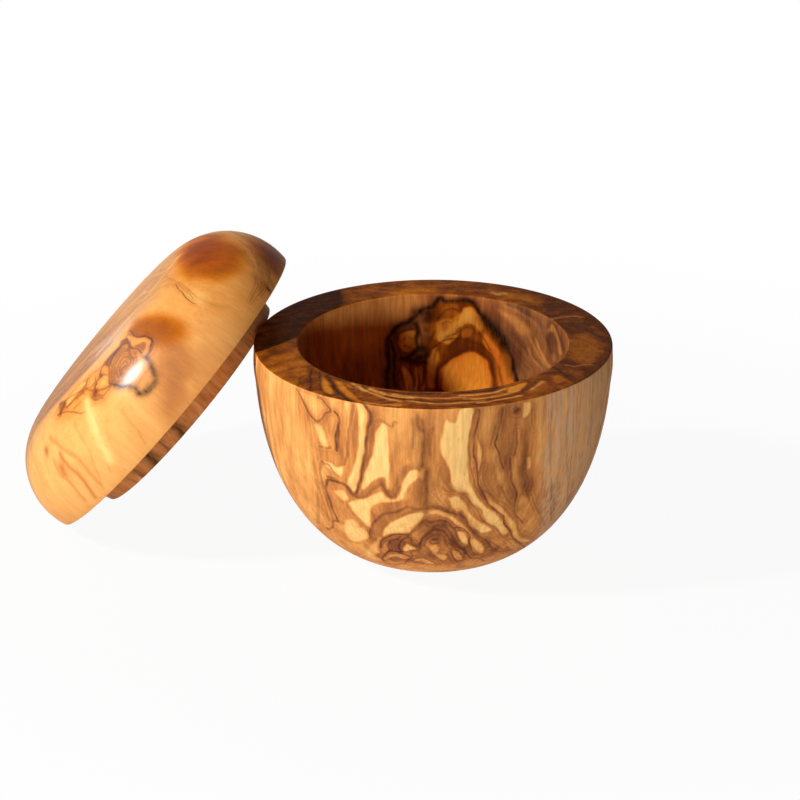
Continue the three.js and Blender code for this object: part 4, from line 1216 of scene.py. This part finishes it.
def draw_lid(figure, places):
    """The knot on the lid's shoulder, its crackled trail and the amber smoke at the lid's upper end."""
    radius = np.maximum(off_axis(places), FINE_SKIN)
    cap = places[:, 2] > FINE_SKIN
    figure.oil[~cap] = UNDERSIDE_OIL
    figure.tone[~cap] = UNDERSIDE_TONE
    figure.dry[~cap] = UNDERSIDE_DRYNESS
    under = np.flatnonzero(~cap & (radius > SPIGOT_END_RADIUS - MM))
    turn = np.arctan2(places[under, 1], places[under, 0])
    round_spigot = np.stack([turn * SPIGOT_ROOT_RADIUS / MM, places[under, 2] / MM], axis=1)
    draw_all(figure, under, round_spigot, SPIGOT_PATCHES, SPIGOT_STREAKS, smoke=SPIGOT_SMOKE)
    figure.drawn[under] = SPIGOT_DRAWN
    crown_shade = np.maximum(faded_in(places[cap, 0] / MM, *CROWN_SHADE_FADE), CROWN_SHADE_LEAST)
    figure.tone[cap] = CROWN_TONE
    figure.dry[cap] = CROWN_DRYNESS
    figure.smoke[cap] = CROWN_SHADE * crown_shade
    figure.polish[cap] = LID_POLISH
    figure.drawn[cap] = CROWN_DRAWN
    chosen = np.flatnonzero(cap & (places[:, 1] < LID_DRAWN_BACK_TO * MM))
    run = lid_run(places[chosen]) / radius[chosen]
    chart = wobbled(places[chosen][:, :2] * run[:, None] / MM, size=4, amount=0.15)
    across, back = chart.T
    amber_end = faded_in(across, *AMBER_RIGHT_FADE) * faded_in(back, *AMBER_FRONT_FADE)
    on_crown = faded_in(back, *CROWN_BACK_FADE) * (1 - amber_end)
    figure.dry[chosen] *= on_crown
    figure.smoke[chosen] *= on_crown
    draw_all(figure, chosen, chart, LID_PATCHES, LID_STREAKS, LID_VEINS, LID_SMOKE, LID_OIL)
    hard, _ = figure.cover(chart, KNOT_SOFTNESS, LID_KNOT)
    figure.polish[chosen] += KNOT_POLISH * hard
    knot_side = np.maximum(faded_in(back, *KNOT_SIDE_FADE), CROWN_DRAWN)
    figure.drawn[chosen] = np.maximum(knot_side, amber_end)


# Materials

def shown(red, green, blue):
    """A colour as the eye sees it on a screen, as the linear colour that the nodes take."""
    values = np.array([red, green, blue]) / 255
    linear = np.where(values <= 0.04045, values / 12.92, ((values + 0.055) / 1.055) ** 2.4)
    return (*[float(value) for value in linear], 1)


class Recipe:
    """A material's nodes, added one after another and joined as they are added."""

    def __init__(self, name):
        self.material = bpy.data.materials.new(name)
        self.material.use_nodes = True
        self.tree = self.material.node_tree
        self.surface = self.tree.nodes["Principled BSDF"]

    def join(self, socket, value):
        """Gives a socket a value, or joins it to another node's output."""
        if isinstance(value, bpy.types.NodeSocket):
            self.tree.links.new(value, socket)
        else:
            socket.default_value = value

    def add(self, kind, inputs, output=0, **settings):
        """Adds a node and returns one of its outputs."""
        node = self.tree.nodes.new("ShaderNode" + kind)
        for name, value in settings.items():
            setattr(node, name, value)
        for name, value in inputs.items():
            self.join(node.inputs[name], value)
        return node.outputs[output]

    def number(self, operation, *values, clamp=False):
        """A sum on numbers."""
        return self.add("Math", dict(enumerate(values)), operation=operation, use_clamp=clamp)

    def between(self, value, start, end, low=0.0, high=1.0):
        """A value eased from low to high as it goes from start to end."""
        inputs = {"Value": value, "From Min": start, "From Max": end, "To Min": low, "To Max": high}
        return self.add("MapRange", inputs, interpolation_type="SMOOTHSTEP")

    def swing(self, noise, low, high):
        """Noise widened to swing from low to high."""
        return self.between(noise, 0.3, 0.7, low, high)

    def mixed(self, share, first, second, blend="MIX"):
        """Two colours mixed by a share of the second."""
        inputs = {0: share, 6: first, 7: second}
        return self.add("Mix", inputs, output=2, data_type="RGBA", blend_type=blend)

    def tinted(self, colour, tint):
        """A colour seen through another."""
        return self.mixed(1.0, colour, tint, blend="MULTIPLY")

    def blended(self, share, first, second):
        """Two numbers mixed by a share of the second."""
        return self.add("Mix", {0: share, 2: first, 3: second}, data_type="FLOAT")

    def attribute(self, name):
        """A number kept on the piece's vertices."""
        return self.add("Attribute", {}, output="Fac", attribute_name=name)

    def noise(self, place, scale, detail=2.0, roughness=0.5):
        """Noise through the solid wood."""
        inputs = {"Vector": place, "Scale": scale, "Detail": detail, "Roughness": roughness}
        return self.add("TexNoise", inputs, output="Fac")

    def noise_along(self, value, scale, detail=2.0):
        """Noise that changes only as one number grows, such as a growth ring's age."""
        inputs = {"W": self.number("MULTIPLY", value, scale), "Scale": 1.0, "Detail": detail}
        return self.add("TexNoise", inputs, output="Fac", noise_dimensions="1D")

    def grain(self, place, share):
        """Coordinates squeezed along the grain, which runs up the piece, so that noise is drawn out."""
        inputs = {"Vector": place, "Scale": (1.0, 1.0, share)}
        return self.add("Mapping", inputs, vector_type="POINT")

    def ramp(self, value, stops):
        """A colour that changes with a value through stops."""
        node = self.tree.nodes.new("ShaderNodeValToRGB")
        self.join(node.inputs[0], value)
        elements = node.color_ramp.elements
        while len(elements) < len(stops):
            elements.new(0.5)
        for element, (position, colour) in zip(elements, stops):
            element.position = position
            element.color = colour
        return node.outputs["Color"]


PALE = shown(255, 202, 124)
HONEY = shown(240, 168, 92)
TAN = shown(206, 132, 70)
BROWN = shown(156, 94, 54)
UMBER = shown(112, 62, 40)
VEIN = shown(98, 52, 40)
# The blue-black of the wood's smoke, which is also the colour of the painted shade round the foot
SMOKE = shown(28, 18, 18)
DRY = shown(214, 168, 128)
OIL = (0.88, 0.62, 0.17, 1)
DEEP_OIL = (1.0, 0.72, 0.75, 1)
TONE_STOPS = [(0.03, PALE), (0.3, HONEY), (0.56, TAN), (0.82, BROWN), (1.0, UMBER)]
PITH_AHEAD = 0.11
RING_WANDER = 46.0
GROWTH_WANDER = 3.0
PORE_STRENGTH = 0.4
VEIN_STRENGTH = 0.92
GRAIN_STRENGTH = 0.12
GRAIN_DEPTH = 0.15 * MM
COAT_ROUGHNESS = 0.25
SPECULAR_LEVEL = 0.01


def olive_wood(name, cloud, darkest, placing=None):
    """Oiled olive wood: growth bands, dark veins, fine fibres along the grain and small pores. Cloud
    is how much its tone and its fibres vary, darkest is the tone of its brownest rings, and placing
    is the centre and the turn of a piece that was turned upright and moved."""
    wood = Recipe(name)
    place = wood.add("TexCoord", {}, output="Object")
    if placing:
        centre, turn = placing
        inputs = {"Vector": place, "Location": centre, "Rotation": turn}
        place = wood.add("Mapping", inputs, vector_type="TEXTURE")
    drawn = wood.attribute("drawn")

    # Growth rings round a pith ahead of the piece, bent by slow noise
    wander = wood.noise(wood.grain(place, 0.35), 26.0, detail=1.5)
    inputs = {"Vector": place, "Location": (0, PITH_AHEAD, 0), "Scale": (1, 1, 0)}
    from_pith = wood.add("Mapping", inputs, vector_type="POINT")
    ring = wood.add("VectorMath", {0: from_pith}, output="Value", operation="LENGTH")
    bend = wood.number("MULTIPLY", wander, RING_WANDER)
    ring = wood.number("MULTIPLY_ADD", ring, 1 / MM, bend)
    ring_tone = wood.swing(wood.noise_along(ring, 0.22, detail=3.0), 0.08, darkest)
    ring_vein = wood.between(wood.noise_along(ring, 0.33, detail=1.0), 0.62, 0.72, 0.0, 0.42)

    # The drawn figure takes over where it has been drawn
    apart = wood.attribute("growth")
    growth = wood.number("MULTIPLY_ADD", wander, GROWTH_WANDER, apart)
    ring_lines = wood.swing(wood.noise_along(ring, 1.6), -0.16, 0.16)
    drawn_lines = wood.swing(wood.noise_along(growth, 1.5), -1.0, 1.0)
    drawn_lines = wood.number("MULTIPLY", drawn_lines, wood.between(apart, 0.4, 2.2, 0.13, 0.0))
    tone = wood.blended(drawn, ring_tone, wood.attribute("tone"))
    tone = wood.number("ADD", tone, wood.blended(drawn, ring_lines, drawn_lines))
    mottle = wood.noise(wood.grain(place, 0.22), 230.0, detail=4.0, roughness=0.6)
    tone = wood.number("ADD", tone, wood.swing(mottle, -cloud, cloud), clamp=True)
    colour = wood.ramp(tone, TONE_STOPS)

    # Fine fibres and pores along the grain
    fibre = wood.noise(wood.grain(place, 0.04), 1100.0, detail=3.0, roughness=0.6)
    colour = wood.tinted(colour, wood.swing(fibre, 1 - 1.25 * cloud, 1 + 0.5 * cloud))
    pore = wood.between(wood.noise(wood.grain(place, 0.09), 2300.0), 0.68, 0.74)
    colour = wood.mixed(wood.number("MULTIPLY", pore, PORE_STRENGTH), colour, BROWN)

    # Open grain, dry and greyer
    open_grain = wood.noise(wood.grain(place, 0.03), 800.0, detail=2.0)
    streaky = wood.between(open_grain, 0.35, 0.65, 0.2, 0.9)
    colour = wood.mixed(wood.number("MULTIPLY", wood.attribute("dry"), streaky), colour, DRY)

    # Veins and smoke, ragged at the scale of the pores. Round the foot the smoke is painted shade.
    ragged = wood.noise(wood.grain(place, 0.4), 900.0, detail=2.0)
    vein = wood.blended(drawn, ring_vein, wood.attribute("vein"))
    faint = wood.noise(place, 170.0, detail=1.0)
    vein = wood.number("MULTIPLY", vein, wood.between(faint, 0.35, 0.65, 0.75, 1.25))
    vein = wood.number("MULTIPLY", vein, wood.swing(ragged, 0.8, 1.2), clamp=True)
    colour = wood.mixed(wood.number("MULTIPLY", vein, VEIN_STRENGTH), colour, VEIN)
    smoke = wood.number("MULTIPLY", wood.attribute("smoke"), wood.swing(ragged, 0.75, 1.1))
    colour = wood.mixed(smoke, colour, SMOKE)

    # Oil soaks deepest into end grain
    oil = wood.attribute("oil")
    colour = wood.mixed(wood.number("MINIMUM", oil, 1.0), colour, wood.tinted(colour, OIL))
    deep = wood.number("SUBTRACT", oil, 1.0, clamp=True)
    colour = wood.mixed(deep, colour, wood.tinted(colour, DEEP_OIL))

    relief = wood.number("SUBTRACT", fibre, pore)
    inputs = {"Height": relief, "Strength": GRAIN_STRENGTH, "Distance": GRAIN_DEPTH}
    surface = wood.surface.inputs
    wood.join(surface["Base Color"], colour)
    wood.join(surface["Roughness"], wood.swing(ragged, 0.40, 0.52))
    wood.join(surface["Normal"], wood.add("Bump", inputs))
    wood.join(surface["Coat Weight"], wood.attribute("polish"))
    surface["Coat Roughness"].default_value = COAT_ROUGHNESS
    surface["Specular IOR Level"].default_value = SPECULAR_LEVEL
    return wood.material


# The bowl

def make_pot():
    """The bowl, with finer faces on the walls that carry the figure."""
    pot = turned("turned_pot", pot_outline())
    centres = face_centres(pot)
    radius = off_axis(centres)
    outer = radius > pot_radius(centres[:, 2]) - COARSE_SKIN
    front = outer & (-centres[:, 1] > FRONT_FACING * radius) & (centres[:, 2] > FRONT_LOWEST)
    inner = (radius < hollow_radius(centres[:, 2]) + SKIN) & (centres[:, 2] > HOLLOW_LOWEST)
    far_wall = inner & (centres[:, 1] > INNER_BACK_FADE[0] * MM)
    rim = centres[:, 2] > POT_HEIGHT - THIN_SKIN
    cut_finer(pot, front | far_wall | rim)
    for reach in POT_CUT_REACHES:
        cut_finer(pot, near_figure(face_centres(pot), draw_pot, reach))
    places = vertex_places(pot)
    radius = off_axis(places)
    height = places[:, 2]
    below_rim = height < POT_HEIGHT - 2 * RIM_EDGE
    on_wall = (radius > pot_radius(height) - THIN_SKIN) & (height > MM)
    in_hollow = (radius < hollow_radius(height) + FINE_SKIN) & (height > HOLLOW_TRUED_FROM)
    trued(pot, on_wall & below_rim, pot_radius)
    trued(pot, in_hollow & below_rim, hollow_radius)
    places = vertex_places(pot)
    figure = Figure(len(places))
    draw_pot(figure, places)
    figure.write(pot)
    bpy.ops.object.shade_smooth_by_angle(angle=SMOOTH_ANGLE)
    pot.data.materials.append(olive_wood("olive wood of the pot", cloud=0.13, darkest=0.78))
    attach(pot, "pot")
    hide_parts("pot")


# The lid

def shoulder_radius_at(height):
    """The lid's radius at a height on its shoulder."""
    rise = np.clip((height - LID_WIDEST_HEIGHT) / SHOULDER_RADIUS, -1, 1)
    return LID_RADIUS - SHOULDER_RADIUS + SHOULDER_RADIUS * np.sqrt(1 - rise ** 2)


def make_lid():
    """The lid, turned upright and then leant on the bowl."""
    lid = turned("turned_lid", lid_outline())
    centres = face_centres(lid)
    cut_finer(lid, (centres[:, 1] < LID_FRONT_EDGE) & (centres[:, 2] > MM))
    for reach in LID_CUT_REACHES:
        cut_finer(lid, near_figure(face_centres(lid), draw_lid, reach))
    height = vertex_places(lid)[:, 2]
    trued(lid, (height > MM) & (height < SHOULDER_TRUED_TO), shoulder_radius_at)
    places = vertex_places(lid)
    figure = Figure(len(places))
    draw_lid(figure, places)
    figure.write(lid)
    bpy.ops.object.shade_smooth_by_angle(angle=SMOOTH_ANGLE)
    turn = Euler((0, -LID_TILT, LID_HEADING))
    lid.rotation_euler = turn
    lid.location = LID_CENTRE
    bpy.ops.object.transform_apply(location=True, rotation=True, scale=True)
    placing = (LID_CENTRE, tuple(turn))
    wood = olive_wood("olive wood of the lid", cloud=0.055, darkest=0.62, placing=placing)
    lid.data.materials.append(wood)
    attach(lid, "lid")
    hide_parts("lid")


# The studio

def seen_rays(tree):
    """One for a ray that sees a thing straight, mirrored or through glass, and nothing for others."""
    rays = tree.nodes.new("ShaderNodeLightPath")
    seen = rays.outputs["Is Camera Ray"]
    for kind in ("Is Glossy Ray", "Is Transmission Ray"):
        either = tree.nodes.new("ShaderNodeMath")
        either.operation = "MAXIMUM"
        tree.links.new(seen, either.inputs[0])
        tree.links.new(rays.outputs[kind], either.inputs[1])
        seen = either.outputs[0]
    return seen


def make_floor():
    """A plain pale floor that shows white to the camera and keeps the object's shadow."""
    bpy.ops.object.select_all(action="DESELECT")
    bpy.ops.mesh.primitive_plane_add(size=FLOOR_SIZE)
    floor = bpy.context.object
    floor.name = "floor"
    paper = Recipe("white paper")
    paper.surface.inputs["Base Color"].default_value = PAPER
    paper.surface.inputs["Roughness"].default_value = 0.9
    paper.surface.inputs["Specular IOR Level"].default_value = 0.1
    white = paper.add("Emission", {"Color": WHITE, "Strength": 1.0})
    place = paper.add("TexCoord", {}, output="Object")
    away = paper.add("VectorMath", {0: place}, output="Value", operation="LENGTH")
    whitened = paper.between(away, FLOOR_NEAR, FLOOR_FAR, WHITE_NEAR, 1.0)
    share = paper.number("MULTIPLY", seen_rays(paper.tree), whitened)
    mixed = paper.add("MixShader", {0: share, 1: paper.surface.outputs[0], 2: white})
    paper.join(paper.tree.nodes["Material Output"].inputs["Surface"], mixed)
    floor.data.materials.append(paper.material)


def make_world():
    """An even pale surround, white where it is seen."""
    world = bpy.data.worlds.new("studio")
    bpy.context.scene.world = world
    world.use_nodes = True
    tree = world.node_tree
    strength = tree.nodes.new("ShaderNodeMapRange")
    strength.inputs["To Min"].default_value = AMBIENT
    strength.inputs["To Max"].default_value = 1.0
    tree.links.new(seen_rays(tree), strength.inputs["Value"])
    background = tree.nodes["Background"]
    background.inputs["Color"].default_value = WHITE
    tree.links.new(strength.outputs["Result"], background.inputs["Strength"])


def soft_box(name, left, up, distance, size, level, mirrored=False):
    """A square soft box, so many degrees left of the viewer and up, that lights a face turned to it
    to a level of white. Only a mirrored one leaves a highlight."""
    azimuth, elevation = math.radians(left), math.radians(up)
    flat = math.cos(elevation)
    direction = Vector((-math.sin(azimuth) * flat, -math.cos(azimuth) * flat, math.sin(elevation)))
    light = bpy.data.lights.new(name, "AREA")
    light.size = size
    light.energy = level * (math.pi * distance) ** 2
    lamp = bpy.data.objects.new(name, light)
    lamp.visible_glossy = mirrored
    lamp.location = Vector(LAMP_AIM) + distance * direction
    lamp.rotation_euler = direction.to_track_quat("Z", "Y").to_euler()
    bpy.context.scene.collection.objects.link(lamp)


def make_camera():
    """The photograph's viewing angle."""
    heading = Euler((0, 0, math.radians(CAMERA_HEADING))).to_matrix()
    pitch = Euler((math.radians(CAMERA_PITCH), 0, 0)).to_matrix()
    roll = Euler((0, 0, math.radians(CAMERA_ROLL))).to_matrix()
    lens = bpy.data.cameras.new("viewpoint")
    lens.lens = LENS
    lens.sensor_width = SENSOR
    camera = bpy.data.objects.new("viewpoint", lens)
    camera.location = CAMERA_PLACE
    camera.rotation_euler = (heading @ pitch @ roll).to_euler()
    bpy.context.scene.collection.objects.link(camera)
    bpy.context.scene.camera = camera


make_pot()
make_lid()
make_floor()
make_world()
soft_box("key", left=68, up=37.5, distance=1.2, size=0.10, level=1.0, mirrored=True)
soft_box("fill", left=0, up=4, distance=1.6, size=0.25, level=0.5)
soft_box("back light", left=200, up=35, distance=1.4, size=0.6, level=0.05)
make_camera()
bpy.context.scene.view_settings.view_transform = "Standard"
